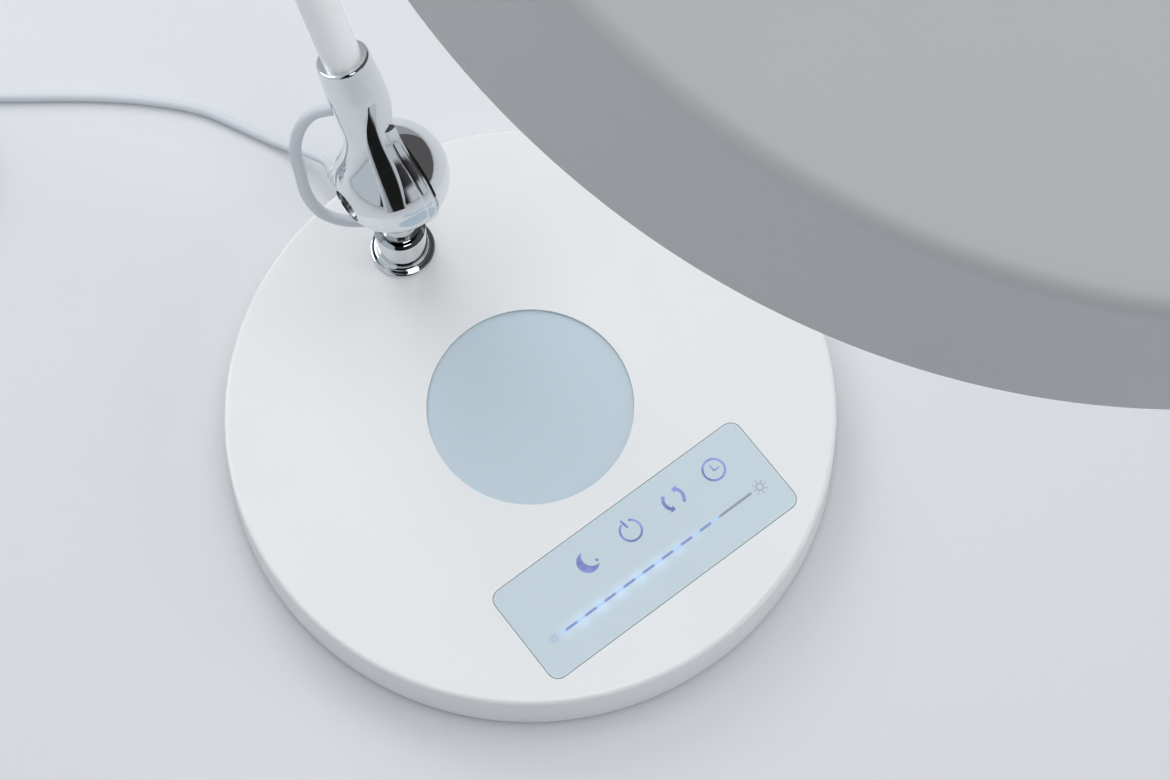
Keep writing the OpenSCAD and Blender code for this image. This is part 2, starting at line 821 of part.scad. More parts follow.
// Power lead
module strain_relief() {
  collar_r = lead_d / 2 + 2.6;
  hole_r = lead_d / 2 + 2;
  tip_r = lead_d / 2 + 0.7;
  wall_y = base_r + base_flare;
  start_y = wall_y - cover_wall - base_flare;
  color("white") translate([0, 0, lead_z]) rotate([-90, 0, 0]) {
    translate([0, 0, start_y - 2.2]) cylinder(r = collar_r, h = 2);
    translate([0, 0, start_y - 1]) cylinder(r = hole_r - seat_gap, h = wall_y - start_y + 2);
    translate([0, 0, wall_y + 0.2]) cylinder(r = collar_r, h = 2);
    translate([0, 0, wall_y + 2]) cylinder(r1 = hole_r, r2 = tip_r, h = relief_len - 2);
  }
}

module lead() {
  color("white") round_tube(smooth_path(lead_route, 3), lead_d, 8, [0, 0, 1]);
}

module lead_coil() {
  corner = lead_d / 2;
  color("white") translate([coil_at[0], coil_at[1], coil_low]) rotate_extrude() translate([coil_d / 2, 0]) {
    translate([-coil_w / 2 + corner, 0]) square([coil_w - 2 * corner, coil_h]);
    translate([-coil_w / 2, corner]) square([coil_w, coil_h - 2 * corner]);
    for (sx = [-1, 1], y = [corner, coil_h - corner])
      translate([sx * (coil_w / 2 - corner), y]) circle(corner);
  }
}

module coil_tie() {
  room_w = coil_w + 10 * seat_gap;
  room_h = coil_h + 2 * seat_gap;
  near = coil_at[1] - coil_d / 2 - room_w / 2 - tie_t;
  color("gray") translate([coil_at[0] - tie_w / 2, near, 0]) difference() {
    cube([tie_w, room_w + 2 * tie_t, room_h + 2 * tie_t]);
    translate([-1, tie_t, tie_t]) cube([tie_w + 2, room_w, room_h]);
  }
}

module lead_tail() {
  color("white") round_tube(smooth_path(tail_route, 4), lead_d, 8, [0, 0, 1]);
}

module adapter() {
  boot_l = 8;
  boot_r = lead_d / 2 + 1.6;
  edge_r = 4;
  pin_r = 2;
  pin_l = 18;
  pin_gap = 19;
  body_x = boot_l + adapter_l / 2;
  color("whitesmoke") translate([tail_to[0] - 4 * seat_gap, tail_to[1], 0]) rotate([0, 0, 180]) {
    translate([body_x, 0, 0]) rounded_plate(adapter_l, adapter_w, edge_r, adapter_h);
    translate([0, 0, adapter_h / 2]) rotate([0, 90, 0])
      cylinder(r1 = lead_d / 2 + 0.4, r2 = boot_r, h = boot_l + 1);
    for (s = [-1, 1]) translate([boot_l + adapter_l - 1, s * pin_gap / 2, adapter_h / 2]) rotate([0, 90, 0])
      cylinder(r = pin_r, h = pin_l + 1);
  }
}

base_cover();
bottom_plate();
base_weight();
rubber_pads();
base_screws();
round_inlay();
touch_panel();
touch_board();
post_collar();
collar_washer();
collar_nut();
post_knuckle();
post_clip();
base_bolt();
base_friction_washer();
lower_knuckle();
lower_tube();
lower_wire();
elbow_lower_knuckle();
elbow_bolt();
elbow_friction_washer();
elbow_upper_knuckle();
upper_tube();
upper_wire();
head_upper_knuckle();
head_bolt();
head_friction_washer();
head_knuckle();
head_nut();
head_housing();
heat_sink();
light_board();
lights();
light_driver();
diffuser();
head_screws();
base_loop();
elbow_loop();
head_loop();
strain_relief();
lead();
lead_coil();
coil_tie();
lead_tail();
adapter();
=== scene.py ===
"""Dresses the LED desk lamp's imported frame: finishes, cables, touch marks, studio and camera."""

import json
import logging
import math
from dataclasses import dataclass
from enum import Enum
from typing import Callable, ClassVar, Iterable, Sequence

import bmesh
import bpy
from mathutils import Matrix, Vector


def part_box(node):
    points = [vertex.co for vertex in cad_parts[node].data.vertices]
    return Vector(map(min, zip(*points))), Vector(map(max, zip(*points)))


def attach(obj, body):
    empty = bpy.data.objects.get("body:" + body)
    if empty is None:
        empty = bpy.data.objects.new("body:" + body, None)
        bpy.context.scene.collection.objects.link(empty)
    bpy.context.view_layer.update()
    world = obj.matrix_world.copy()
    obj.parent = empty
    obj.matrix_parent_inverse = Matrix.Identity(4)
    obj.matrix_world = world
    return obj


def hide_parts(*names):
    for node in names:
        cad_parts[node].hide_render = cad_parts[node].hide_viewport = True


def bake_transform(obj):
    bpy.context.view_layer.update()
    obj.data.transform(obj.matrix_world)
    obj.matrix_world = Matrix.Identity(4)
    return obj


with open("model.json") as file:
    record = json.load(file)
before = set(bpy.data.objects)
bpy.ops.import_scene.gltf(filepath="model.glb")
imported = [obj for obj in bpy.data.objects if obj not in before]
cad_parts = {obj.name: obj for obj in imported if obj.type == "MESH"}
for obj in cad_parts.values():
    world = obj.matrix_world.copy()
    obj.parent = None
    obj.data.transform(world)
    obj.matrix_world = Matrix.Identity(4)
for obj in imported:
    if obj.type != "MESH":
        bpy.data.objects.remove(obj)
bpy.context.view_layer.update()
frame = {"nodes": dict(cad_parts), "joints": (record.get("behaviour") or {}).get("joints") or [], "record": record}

logging.basicConfig(level=logging.INFO, format="%(message)s")
log = logging.getLogger("lamp")

MM = 0.001
Colour = tuple[float, float, float]
Point = tuple[float, float, float]
Flat = tuple[float, float]
Material = bpy.types.Material
Mesh = bpy.types.Mesh
Node = bpy.types.Node
Object = bpy.types.Object
Shape = bmesh.types.BMesh
Socket = bpy.types.NodeSocket
Tree = bpy.types.NodeTree


# Node graphs

def rgba(colour: Colour) -> tuple[float, float, float, float]:
    """A colour with full alpha."""
    return (*colour, 1.0)


class Graph:
    """Short way to place and link nodes in one tree."""

    def __init__(self, tree: Tree) -> None:
        """Wraps the tree that gets the nodes."""
        self.tree = tree

    def add(self, kind: str, settings: dict | None = None, **feeds: object) -> Node:
        """Places a node, sets its options and feeds its inputs.

        Args:
            kind: Blender's node type.
            settings: Properties of the node itself.
            **feeds: Values or sockets by input name, with _ for a space, or iN for input N.

        Returns:
            The new node.
        """
        node = self.tree.nodes.new(kind)
        for key, value in (settings or {}).items():
            setattr(node, key, value)
        self.set(node, **feeds)
        return node

    def set(self, node: Node, **feeds: object) -> None:
        """Feeds inputs of a node.

        Args:
            node: The node.
            **feeds: As for add.
        """
        for key, value in feeds.items():
            numbered = key[0] == "i" and key[1:].isdigit()
            self.feed(node.inputs[int(key[1:]) if numbered else key.replace("_", " ")], value)

    def feed(self, socket: Socket, value: object) -> None:
        """Links an output socket to an input, or sets the input's own value.

        Args:
            socket: The input.
            value: A plain value or an output socket.
        """
        if isinstance(value, Socket):
            self.tree.links.new(value, socket)
        else:
            socket.default_value = value

    def group(self, tree: Tree, **sizes: float) -> bpy.types.NodeOutputs:
        """Places a shader group with its own sizes and returns its outputs."""
        return self.add("ShaderNodeGroup", {"node_tree": tree}, **sizes).outputs

    def geo(self, kind: str, **feeds: object) -> Socket:
        """Places a geometry node and returns its first output."""
        return self.add("GeometryNode" + kind, **feeds).outputs[0]

    def maths(self, operation: str, a: object, b: object = 0.0, c: object = 0.0) -> Socket:
        """Adds a Math node and returns its result's socket."""
        return self.add("ShaderNodeMath", {"operation": operation}, i0=a, i1=b, i2=c).outputs[0]

    def times(self, first: object, *others: object) -> Socket:
        """Multiplies values.

        Args:
            first: A value or socket.
            *others: What it is multiplied by.

        Returns:
            The product's socket.
        """
        for other in others:
            first = self.maths("MULTIPLY", first, other)
        return first

    def rest_of(self, value: object) -> Socket:
        """What a value leaves of 1."""
        return self.maths("SUBTRACT", 1.0, value)

    def mix(self, factor: object, a: Colour | Socket, b: Colour | Socket) -> Socket:
        """Mixes two colours and returns the result's socket."""
        a, b = (c if isinstance(c, Socket) else rgba(c) for c in (a, b))
        return self.add("ShaderNodeMix", {"data_type": "RGBA"}, i0=factor, i6=a, i7=b).outputs[2]

    def ramp(self, factor: object, low: float, high: float) -> Socket:
        """Smooth step from 0 at low to 1 at high, as a socket."""
        settings = {"interpolation_type": "SMOOTHSTEP", "clamp": True}
        return self.add("ShaderNodeMapRange", settings, i0=factor, i1=low, i2=high).outputs[0]

    def wave(self, along: Socket, first: float, pitch: float) -> Socket:
        """Cosine wave with crests a pitch apart, one of them at first."""
        turn = self.times(self.maths("SUBTRACT", along, first), math.tau / pitch)
        return self.maths("COSINE", turn)

    def place(self) -> Socket:
        """Where the surface is, in Object coordinates."""
        return self.add("ShaderNodeTexCoord").outputs["Object"]

    def parts(self, place: Socket) -> bpy.types.NodeOutputs:
        """X, Y and Z of a place."""
        return self.add("ShaderNodeSeparateXYZ", Vector=place).outputs

    def vector(self, **parts: object) -> Socket:
        """A vector from its X, Y and Z."""
        return self.add("ShaderNodeCombineXYZ", **parts).outputs[0]

    def noise(self, place: Socket, scale: object, detail: float, distortion: float = 0.0) -> Socket:
        """Soft noise from 0 to 1."""
        return self.add("ShaderNodeTexNoise", Vector=place, Scale=scale, Detail=detail,
                        Distortion=distortion).outputs["Fac"]


def shader_group(name: str, inputs: dict[str, float],
                 outputs: Sequence[str]) -> tuple[Graph, dict[str, Socket], dict[str, Socket]]:
    """Starts a shader node group with float sockets.

    Args:
        name: The group's name.
        inputs: Inputs with their default values.
        outputs: Outputs.

    Returns:
        The graph, and the input and the output sockets by name.
    """
    tree = bpy.data.node_groups.new(name, "ShaderNodeTree")
    sockets = tree.interface
    for label, value in inputs.items():
        sockets.new_socket(label, in_out="INPUT", socket_type="NodeSocketFloat").default_value = value
    for label in outputs:
        sockets.new_socket(label, in_out="OUTPUT", socket_type="NodeSocketFloat")
    graph = Graph(tree)
    entry, leave = graph.add("NodeGroupInput"), graph.add("NodeGroupOutput")
    return graph, {k: entry.outputs[k] for k in inputs}, {k: leave.inputs[k] for k in outputs}


class SurfaceEffects:
    """Shader groups that several finishes share, each built once."""

    def __init__(self) -> None:
        """Builds every group."""
        self.grain = self.mould_grain()
        self.lines = self.brush_lines()
        self.smear = self.touch_smear()

    def mould_grain(self) -> Tree:
        """Fine moulded or sprayed grain with slow clouds of shade.

        Returns:
            The group's tree.
        """
        graph, size, out = shader_group("mould_grain", {"Grain Scale": 2500.0, "Cloud Scale": 14.0},
                                        ("Cloud", "Grain"))
        place = graph.place()
        graph.feed(out["Grain"], graph.noise(place, size["Grain Scale"], detail=3.0))
        cloud = graph.noise(place, size["Cloud Scale"], detail=4.0)
        graph.feed(out["Cloud"], graph.ramp(cloud, low=0.3, high=0.7))
        return graph.tree

    def brush_lines(self) -> Tree:
        """Drawn lines of turned or rolled metal, stretched along X, with patches of shade.

        Returns:
            The group's tree.
        """
        sizes = {"Line Scale": 1800.0, "Stretch": 0.03, "Patch Scale": 90.0}
        graph, size, out = shader_group("brush_lines", sizes, ("Line", "Patch"))
        place = graph.place()
        parts = graph.parts(place)
        drawn = graph.vector(X=graph.times(parts["X"], size["Stretch"]), Y=parts["Y"], Z=parts["Z"])
        graph.feed(out["Line"], graph.noise(drawn, size["Line Scale"], detail=2.0))
        graph.feed(out["Patch"], graph.noise(place, size["Patch Scale"], detail=3.0))
        return graph.tree

    def touch_smear(self) -> Tree:
        """Faint smears, as polished or glassy faces get from hands.

        Returns:
            The group's tree.
        """
        graph, size, out = shader_group("touch_smear", {"Smear Scale": 60.0}, ("Smear",))
        smear = graph.noise(graph.place(), size["Smear Scale"], detail=5.0, distortion=1.2)
        graph.feed(out["Smear"], graph.ramp(smear, low=0.45, high=0.75))
        return graph.tree


# Finishes

# Where the slider's row of lights starts along X, and the distance between its lights
SLIDER_FROM = -0.044
SLIDER_PITCH = 0.0089


@dataclass(frozen=True)
class Finish:
    """A material's plain values; each kind of finish adds its own nodes.

    Attributes:
        name: The material's name.
        colour: Base colour.
        rough: Roughness at the middle of its range.
        spread: How far roughness swings.
        shade: How much darker the clouds of shade are, as a share.
        smoothest: Least roughness of any finish.
    """

    name: str
    colour: Colour
    rough: float = 0.45
    spread: float = 0.08
    shade: float = 0.03
    smoothest: ClassVar[float] = 0.02

    def build(self, effects: SurfaceEffects) -> Material:
        """Makes the material; each kind of finish does so in its own way."""
        raise NotImplementedError

    def start(self, **values: float) -> tuple[Material, Graph, Node]:
        """Makes the material with a plain Principled shader.

        Args:
            **values: Further inputs of the shader, with _ for a space.

        Returns:
            The material, its graph and the shader node.
        """
        material = bpy.data.materials.new(self.name)
        material.use_nodes = True
        material.diffuse_color = rgba(self.colour)
        material.node_tree.nodes.clear()
        graph = Graph(material.node_tree)
        shader = graph.add("ShaderNodeBsdfPrincipled", Base_Color=rgba(self.colour),
                           Roughness=self.rough, **values)
        graph.add("ShaderNodeOutputMaterial", Surface=shader.outputs[0])
        return material, graph, shader

    def surface(self, graph: Graph, shader: Node, shading: Socket, wear: Socket) -> Socket:
        """Darkens the colour by one mask and roughens by another.

        Args:
            graph: The material's graph.
            shader: Its shader.
            shading: Mask of the darker tone.
            wear: Mask of the roughness.

        Returns:
            The colour's socket.
        """
        tone = graph.mix(shading, self.colour, tuple(c * (1 - self.shade) for c in self.colour))
        low, high = max(self.rough - self.spread, self.smoothest), self.rough + self.spread
        swing = graph.add("ShaderNodeMapRange", {"clamp": True}, i0=wear, i3=low, i4=high)
        graph.set(shader, Base_Color=tone, Roughness=swing.outputs[0])
        return tone

    def emboss(self, graph: Graph, shader: Node, height: Socket, strength: float, depth: float) -> None:
        """Raises the surface a little, by depth in metres where height is 1."""
        bump = graph.add("ShaderNodeBump", Strength=strength, Distance=depth, Height=height)
        graph.set(shader, Normal=bump.outputs[0])


@dataclass(frozen=True)
class Moulded(Finish):
    """Moulded plastic, rubber or sprayed paint.

    Attributes:
        grain: Grains a metre.
        depth: Height of the grain in metres.
        coat: Weight of a clear coat.
        cloud: Scale of the clouds of shade.
    """

    grain: float = 2500.0
    depth: float = 0.00002
    coat: float = 0.0
    cloud: float = 14.0

    def build(self, effects: SurfaceEffects) -> Material:
        """Makes the material from the shared grain group.

        Args:
            effects: The shared groups.

        Returns:
            The material.
        """
        material, graph, shader = self.start(Coat_Weight=self.coat, Coat_Roughness=0.12)
        masks = graph.group(effects.grain, Grain_Scale=self.grain, Cloud_Scale=self.cloud)
        self.surface(graph, shader, masks["Cloud"], masks["Grain"])
        self.emboss(graph, shader, masks["Grain"], strength=0.5, depth=self.depth)
        return material


@dataclass(frozen=True)
class Polished(Finish):
    """Bright plated metal with faint smears.

    Attributes:
        smear: Scale of the smears.
    """

    smear: float = 60.0

    def build(self, effects: SurfaceEffects) -> Material:
        """Makes the material from the shared smear group.

        Args:
            effects: The shared groups.

        Returns:
            The material.
        """
        material, graph, shader = self.start(Metallic=1.0)
        smear = graph.group(effects.smear, Smear_Scale=self.smear)["Smear"]
        self.surface(graph, shader, smear, smear)
        return material


@dataclass(frozen=True)
class Brushed(Finish):
    """Turned, rolled or cast metal with drawn lines.

    Attributes:
        lines: Scale of the lines.
        metallic: Metallic value.
        depth: Height of the lines, in metres.
    """

    lines: float = 1800.0
    metallic: float = 1.0
    depth: float = 0.00002

    def build(self, effects: SurfaceEffects) -> Material:
        """Makes the material from the shared line group.

        Args:
            effects: The shared groups.

        Returns:
            The material.
        """
        material, graph, shader = self.start(Metallic=self.metallic)
        masks = graph.group(effects.lines, Line_Scale=self.lines)
        self.surface(graph, shader, masks["Patch"], masks["Line"])
        self.emboss(graph, shader, masks["Line"], strength=0.4, depth=self.depth)
        return material


@dataclass(frozen=True)
class Glassy(Finish):
    """Printed glass or gloss plastic, with smears and an optional row of light under it.

    Attributes:
        smear: Scale of the smears.
        row_y: Line of the lights along X, or None for a face without lights.
        rise: Where along X their light starts and is full.
        fall: Where it fades and ends.
        reach: How far it spreads to each side.
        pitch: Distance between lights.
        beat: Swing of brightness between lights, and its middle.
        halo: Colour of the light.
        painted_glow_colour: Painted glow: colour that the face itself is given along the lit row, for the light of
            the lights under it.
        painted_glow_share: How much of it.
        glow: Emission strength.
    """

    smear: float = 35.0
    row_y: float | None = None
    rise: Flat = (-0.048, -0.038)
    fall: Flat = (-0.007, 0.035)
    reach: float = 0.0052
    pitch: float = SLIDER_PITCH
    beat: Flat = (0.25, 0.75)
    halo: Colour = (0.55, 0.75, 1.0)
    painted_glow_colour: Colour = (0.62, 0.78, 0.95)
    painted_glow_share: float = 0.45
    glow: float = 0.13

    def row(self, graph: Graph) -> Socket:
        """How brightly the row shows at each place, from 0 to 1.

        Args:
            graph: The material's graph.

        Returns:
            The mask's socket.
        """
        parts = graph.parts(graph.place())
        across = graph.maths("ABSOLUTE", graph.maths("SUBTRACT", parts["Y"], self.row_y))
        near = graph.rest_of(graph.ramp(across, 0.0, self.reach))
        inside = graph.times(graph.ramp(parts["X"], *self.rise),
                             graph.rest_of(graph.ramp(parts["X"], *self.fall)))
        wave = graph.wave(parts["X"], SLIDER_FROM, self.pitch)
        return graph.times(near, inside, graph.maths("MULTIPLY_ADD", wave, *self.beat))

    def build(self, effects: SurfaceEffects) -> Material:
        """Makes the material, with the glow of the row and a painted glow on its base colour in its own nodes.

        Args:
            effects: The shared groups.

        Returns:
            The material.
        """
        material, graph, shader = self.start(Coat_Weight=0.25, Coat_Roughness=0.08)
        smear = graph.group(effects.smear, Smear_Scale=self.smear)["Smear"]
        tone = self.surface(graph, shader, smear, smear)
        if self.row_y is not None:
            light = self.row(graph)
            # Painted glow: the base colour turns pale blue along the lit row, as if lit by the lights under the
            # glass
            graph.set(shader, Base_Color=graph.mix(graph.times(light, self.painted_glow_share), tone, self.painted_glow_colour),
                      Emission_Color=graph.mix(light, (0.0, 0.0, 0.0), self.halo),
                      Emission_Strength=self.glow)
        return material


@dataclass(frozen=True)
class Lit(Finish):
    """A lit mark, lens or diffuser with an even glow and faint mottling.

    Attributes:
        glow: Emission strength.
        second: Other colour of the mottling.
        pitch: Distance between bright spots along X, or 0 for soft mottling.
        grain: Scale of the grain in soft mottling.
        cloud: Scale of its clouds.
    """

    glow: float = 0.5
    second: Colour = (1.0, 1.0, 1.0)
    pitch: float = 0.0
    grain: float = 900.0
    cloud: float = 160.0

    def build(self, effects: SurfaceEffects) -> Material:
        """Makes the material; the colour changes between two tones over the surface.

        Args:
            effects: The shared groups.

        Returns:
            The material.
        """
        material, graph, shader = self.start(Emission_Strength=self.glow)
        if self.pitch:
            wave = graph.wave(graph.parts(graph.place())["X"], SLIDER_FROM, self.pitch)
            mask = graph.ramp(wave, low=-0.2, high=0.7)
        else:
            mask = graph.group(effects.grain, Grain_Scale=self.grain, Cloud_Scale=self.cloud)["Cloud"]
        tone = graph.mix(mask, self.colour, self.second)
        graph.set(shader, Base_Color=tone, Emission_Color=tone)
        return material


# The finish of each of the record's slots, with rough, spread and shade after its colour
FINISHES: dict[str, Finish] = {
    "white_cover": Moulded("white_satin_cover", (0.83, 0.84, 0.85), 0.42, 0.06, 0.02, grain=1800.0,
                           depth=0.000015, coat=0.4),
    "white_paint": Moulded("white_sprayed_tube", (0.89, 0.90, 0.91), 0.32, 0.04, 0.02, grain=2400.0,
                           coat=0.3),
    "plate_steel": Brushed("grey_base_plate", (0.42, 0.43, 0.44), 0.5, 0.08, 0.1, metallic=0.2),
    "weight_steel": Brushed("raw_steel_weight", (0.10, 0.10, 0.11), 0.55, 0.1, 0.3, lines=600.0,
                            metallic=0.8),
    "pad_rubber": Moulded("grey_rubber_pad", (0.11, 0.11, 0.12), 0.8, 0.1, 0.2, grain=900.0,
                          depth=0.0001),
    "fastener_steel": Brushed("turned_fastener", (0.56, 0.57, 0.58), 0.28, 0.08, 0.2, lines=2600.0),
    "inlay_blue_grey": Glassy("frosted_blue_inlay", (0.54, 0.645, 0.72), 0.36, 0.015, 0.008),
    "panel_glass": Glassy("pale_blue_touch_glass", (0.59, 0.69, 0.75), 0.32, 0.015, 0.008,
                          row_y=-0.0780),
    "board_green": Moulded("green_circuit_board", (0.02, 0.14, 0.05), 0.4, 0.08, 0.4, grain=700.0,
                           cloud=220.0),
    "chrome": Polished("bright_chrome", (0.78, 0.80, 0.82), 0.05, 0.03, 0.02),
    "friction_plastic": Moulded("black_friction_washer", (0.03, 0.03, 0.03), 0.5, 0.1, 0.3),
    "cable_white": Moulded("white_cable_jacket", (0.67, 0.71, 0.75), 0.48, 0.06, 0.03, grain=1500.0,
                           depth=0.00003),
    "head_grey": Moulded("grey_satin_head", (0.60, 0.60, 0.61), 0.45, 0.06, 0.03, grain=1600.0,
                         coat=0.05),
    "sink_aluminium": Brushed("aluminium_plate", (0.62, 0.63, 0.64), 0.42, 0.1, 0.1),
    "board_white": Moulded("white_light_board", (0.75, 0.75, 0.72), 0.5, 0.08, 0.08, cloud=120.0),
    "light_yellow": Lit("light_chip", (0.90, 0.72, 0.22), 0.4, glow=1.0, second=(1.0, 0.85, 0.45)),
    "driver_black": Moulded("black_driver_case", (0.03, 0.03, 0.035), 0.5, 0.1, 0.3),
    "opal": Lit("opal_diffuser", (0.92, 0.92, 0.90), 0.5, glow=3.4, second=(0.90, 0.91, 0.92)),
    "tie_grey": Moulded("grey_tie", (0.22, 0.23, 0.24), 0.55, 0.08, 0.2),
}


def link(item: Object) -> Object:
    """Puts an object into the scene and returns it."""
    bpy.context.scene.collection.objects.link(item)
    return item


class Dresser:
    """Builds each finish once, dresses the frame and puts pieces into the scene."""

    def __init__(self) -> None:
        """Builds the shared effects and every slot's material."""
        self.effects = SurfaceEffects()
        self.materials = {slot: finish.build(self.effects) for slot, finish in FINISHES.items()}

    def extra(self, finish: Finish) -> Material:
        """A material beyond the record's slots."""
        return finish.build(self.effects)

    def dress_frame(self) -> None:
        """Gives every CAD node the finish of its slot."""
        for entry in frame["record"]["subparts"]:
            node = frame["nodes"][entry["node"]]
            for place in node.material_slots:
                place.material = self.materials[entry["material_slot"]]
            log.info("dressed %s in %s", entry["node"], entry["material_slot"])

    def piece(self, name: str, mesh: Mesh, body: str | None, slot: str,
              material: Material | None = None) -> Object:
        """Puts a mesh into the scene as a piece of the lamp.

        Args:
            name: The piece's name.
            mesh: Its mesh, in place.
            body: The body that it rides on, or None for a piece that rides on none.
            slot: The record's material slot that it goes with.
            material: Its material, where that isn't the slot's own.

        Returns:
            The new object.
        """
        mesh.name = name
        mesh.materials.clear()
        mesh.materials.append(material or self.materials[slot])
        piece = link(bpy.data.objects.new(name, mesh))
        if body:
            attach(piece, body)
        log.info("made %s", name)
        return piece


# Mesh helpers

def turn_x(point: Sequence[float], degrees: float) -> Vector:
    """A point turned about X."""
    return Matrix.Rotation(math.radians(degrees), 3, "X") @ Vector(point)


def polar(at: Flat, radius: float, angle: float) -> Flat:
    """The point at a radius and an angle, in radians, round another."""
    return at[0] + radius * math.cos(angle), at[1] + radius * math.sin(angle)


def bent(centre: Flat, radius: float, first: float, last: float, steps: int) -> list[Flat]:
    """Points of a profile's rounding, with angles in degrees."""
    turn = last - first
    return [polar(centre, radius, math.radians(first + turn * k / steps)) for k in range(steps + 1)]


def smooth_path(points: Sequence[Sequence[float]], steps: int) -> list[Vector]:
    """A smooth curve through points.

    Args:
        points: The points, in order.
        steps: Steps between two points.

    Returns:
        The points of the curve.
    """
    p = [Vector(q) for q in points]
    path = []
    for i in range(len(p) - 1):
        a, b, c, d = p[max(i - 1, 0)], p[i], p[i + 1], p[min(i + 2, len(p) - 1)]
        for s in range(steps):
            t = s / steps
            path.append(0.5 * (2 * b + (c - a) * t + (2 * a - 5 * b + 4 * c - d) * t * t
                               + (3 * b - a - 3 * c + d) * t ** 3))
    path.append(p[-1])
    return path


def path_curve(name: str, path: Sequence[Vector], radius: float = 0.0) -> Object:
    """A curve object of one open spline.

    Args:
        name: The curve's name.
        path: Its points.
        radius: Radius of its round section, or 0 for a bare line.

    Returns:
        The new object.
    """
    data = bpy.data.curves.new(name, "CURVE")
    data.dimensions = "3D"
    spline = data.splines.new("POLY")
    spline.points.add(len(path) - 1)
    for spot, place in zip(spline.points, path):
        spot.co = (*place, 1.0)
    spline.use_smooth = True
    data.bevel_depth = radius
    data.bevel_resolution = 4
    data.use_fill_caps = radius > 0
    return link(bpy.data.objects.new(name, data))


def as_mesh(shape: Shape, name: str, sharp: float | None = None, place: Matrix | None = None) -> Mesh:
    """Turns a shape into a mesh and frees it.

    Args:
        shape: The shape.
        name: The mesh's name.
        sharp: Least angle of a sharp edge in degrees, if any.
        place: Where the shape goes, if it isn't in place.

    Returns:
        The mesh.
    """
    made = bpy.data.meshes.new(name)
    shape.to_mesh(made)
    shape.free()
    if place is not None:
        made.transform(place)
    if sharp is not None:
        made.set_sharp_from_angle(angle=math.radians(sharp))
    return made


def lathe(profile: Sequence[Flat], segments: int) -> Shape:
    """Turns a profile about Z.

    Args:
        profile: Radius and height of each point, in metres; a radius of 0 is a pole.
        segments: Number of sides.

    Returns:
        The turned shape, with its faces outwards.
    """
    shape = bmesh.new()
    rings = []
    for radius, height in profile:
        angles = [math.tau * k / segments for k in range(segments if radius > 0 else 1)]
        rings.append([shape.verts.new((*polar((0.0, 0.0), radius, a), height)) for a in angles])
    for low, high in zip(rings, rings[1:]):
        for k in range(segments):
            m = (k + 1) % segments
            corners = [low[k % len(low)], low[m % len(low)], high[m % len(high)], high[k % len(high)]]
            shape.faces.new(list(dict.fromkeys(corners))).smooth = True
    bmesh.ops.recalc_face_normals(shape, faces=shape.faces)
    return shape


def loft(rows: Iterable[Iterable[Vector]]) -> Shape:
    """Joins rows of points into a closed shape that is smooth but for its flat back and its ends.

    Args:
        rows: The points of each row, as many in each.

    Returns:
        The shape, with its faces outwards.
    """
    shape = bmesh.new()
    rings = [[shape.verts.new(p) for p in row] for row in rows]
    for a, b in zip(rings, rings[1:]):
        for k in range(len(a) - 1):
            shape.faces.new((a[k], a[k + 1], b[k + 1], b[k])).smooth = True
        shape.faces.new((a[-1], a[0], b[0], b[-1]))
    for ring in (rings[0], rings[-1]):
        shape.faces.new(ring)
    bmesh.ops.recalc_face_normals(shape, faces=shape.faces)
    return shape


def add_tube(shape: Shape, centre: Point, rings: Sequence[Flat], sides: int = 24) -> None:
    """Adds a closed round tube along -X to a shape.

    Args:
        shape: The shape that gets it.
        centre: Where it starts.
        rings: Distance along it and radius of each ring.
        sides: Number of sides.
    """
    turns = [math.tau * k / sides for k in range(sides)]
    made = [[shape.verts.new((centre[0] - along, *polar(centre[1:], radius, t))) for t in turns]
            for along, radius in rings]
    shape.faces.new(made[0])
    for a, b in zip(made, made[1:]):
        for k in range(sides):
            m = (k + 1) % sides
            shape.faces.new((a[k], b[k], b[m], a[m])).smooth = True
    shape.faces.new(list(reversed(made[-1])))


class FieldTree:
    """A Geometry Nodes tree with named sizes, which is turned into a plain mesh."""

    kinds: ClassVar[dict[type, str]] = {int: "Int", float: "Float", Object: "Object"}

    def __init__(self, name: str, **sizes: int | float | Object) -> None:
        """Starts the tree.

        Args:
            name: The tree's name.
            **sizes: Inputs with their values.
        """
        self.name = name
        self.tree = bpy.data.node_groups.new(name, "GeometryNodeTree")
        self.graph = Graph(self.tree)
        self.values: dict[str, object] = {}
        sockets = self.tree.interface
        for label, value in sizes.items():
            kind = "NodeSocket" + self.kinds[type(value)]
            socket = sockets.new_socket(label, in_out="INPUT", socket_type=kind)
            self.values[socket.identifier] = value
        sockets.new_socket("Geometry", in_out="OUTPUT", socket_type="NodeSocketGeometry")
        self.sizes = self.graph.add("NodeGroupInput").outputs

    def mesh(self, geometry: Socket, material: Material, smooth: bool = True) -> Mesh:
        """Ends the tree and turns its result into a mesh.

        Args:
            geometry: The last geometry socket.
            material: Material of the result.
            smooth: Whether faces are shaded smooth.

        Returns:
            The plain mesh.
        """
        for kind, value in (("RealizeInstances", {}), ("SetShadeSmooth", {"Shade_Smooth": smooth}),
                            ("SetMaterial", {"Material": material})):
            geometry = self.graph.geo(kind, Geometry=geometry, **value)
        self.graph.add("NodeGroupOutput", Geometry=geometry)
        carrier = link(bpy.data.objects.new(self.name, bpy.data.meshes.new(self.name)))
        modifier = carrier.modifiers.new(self.name, "NODES")
        modifier.node_group = self.tree
        for identifier, value in self.values.items():
            modifier[identifier] = value
        graph = bpy.context.evaluated_depsgraph_get()
        made = bpy.data.meshes.new_from_object(carrier.evaluated_get(graph))
        carrier.modifiers.remove(modifier)
        bpy.data.objects.remove(carrier)
        return made


# Camera

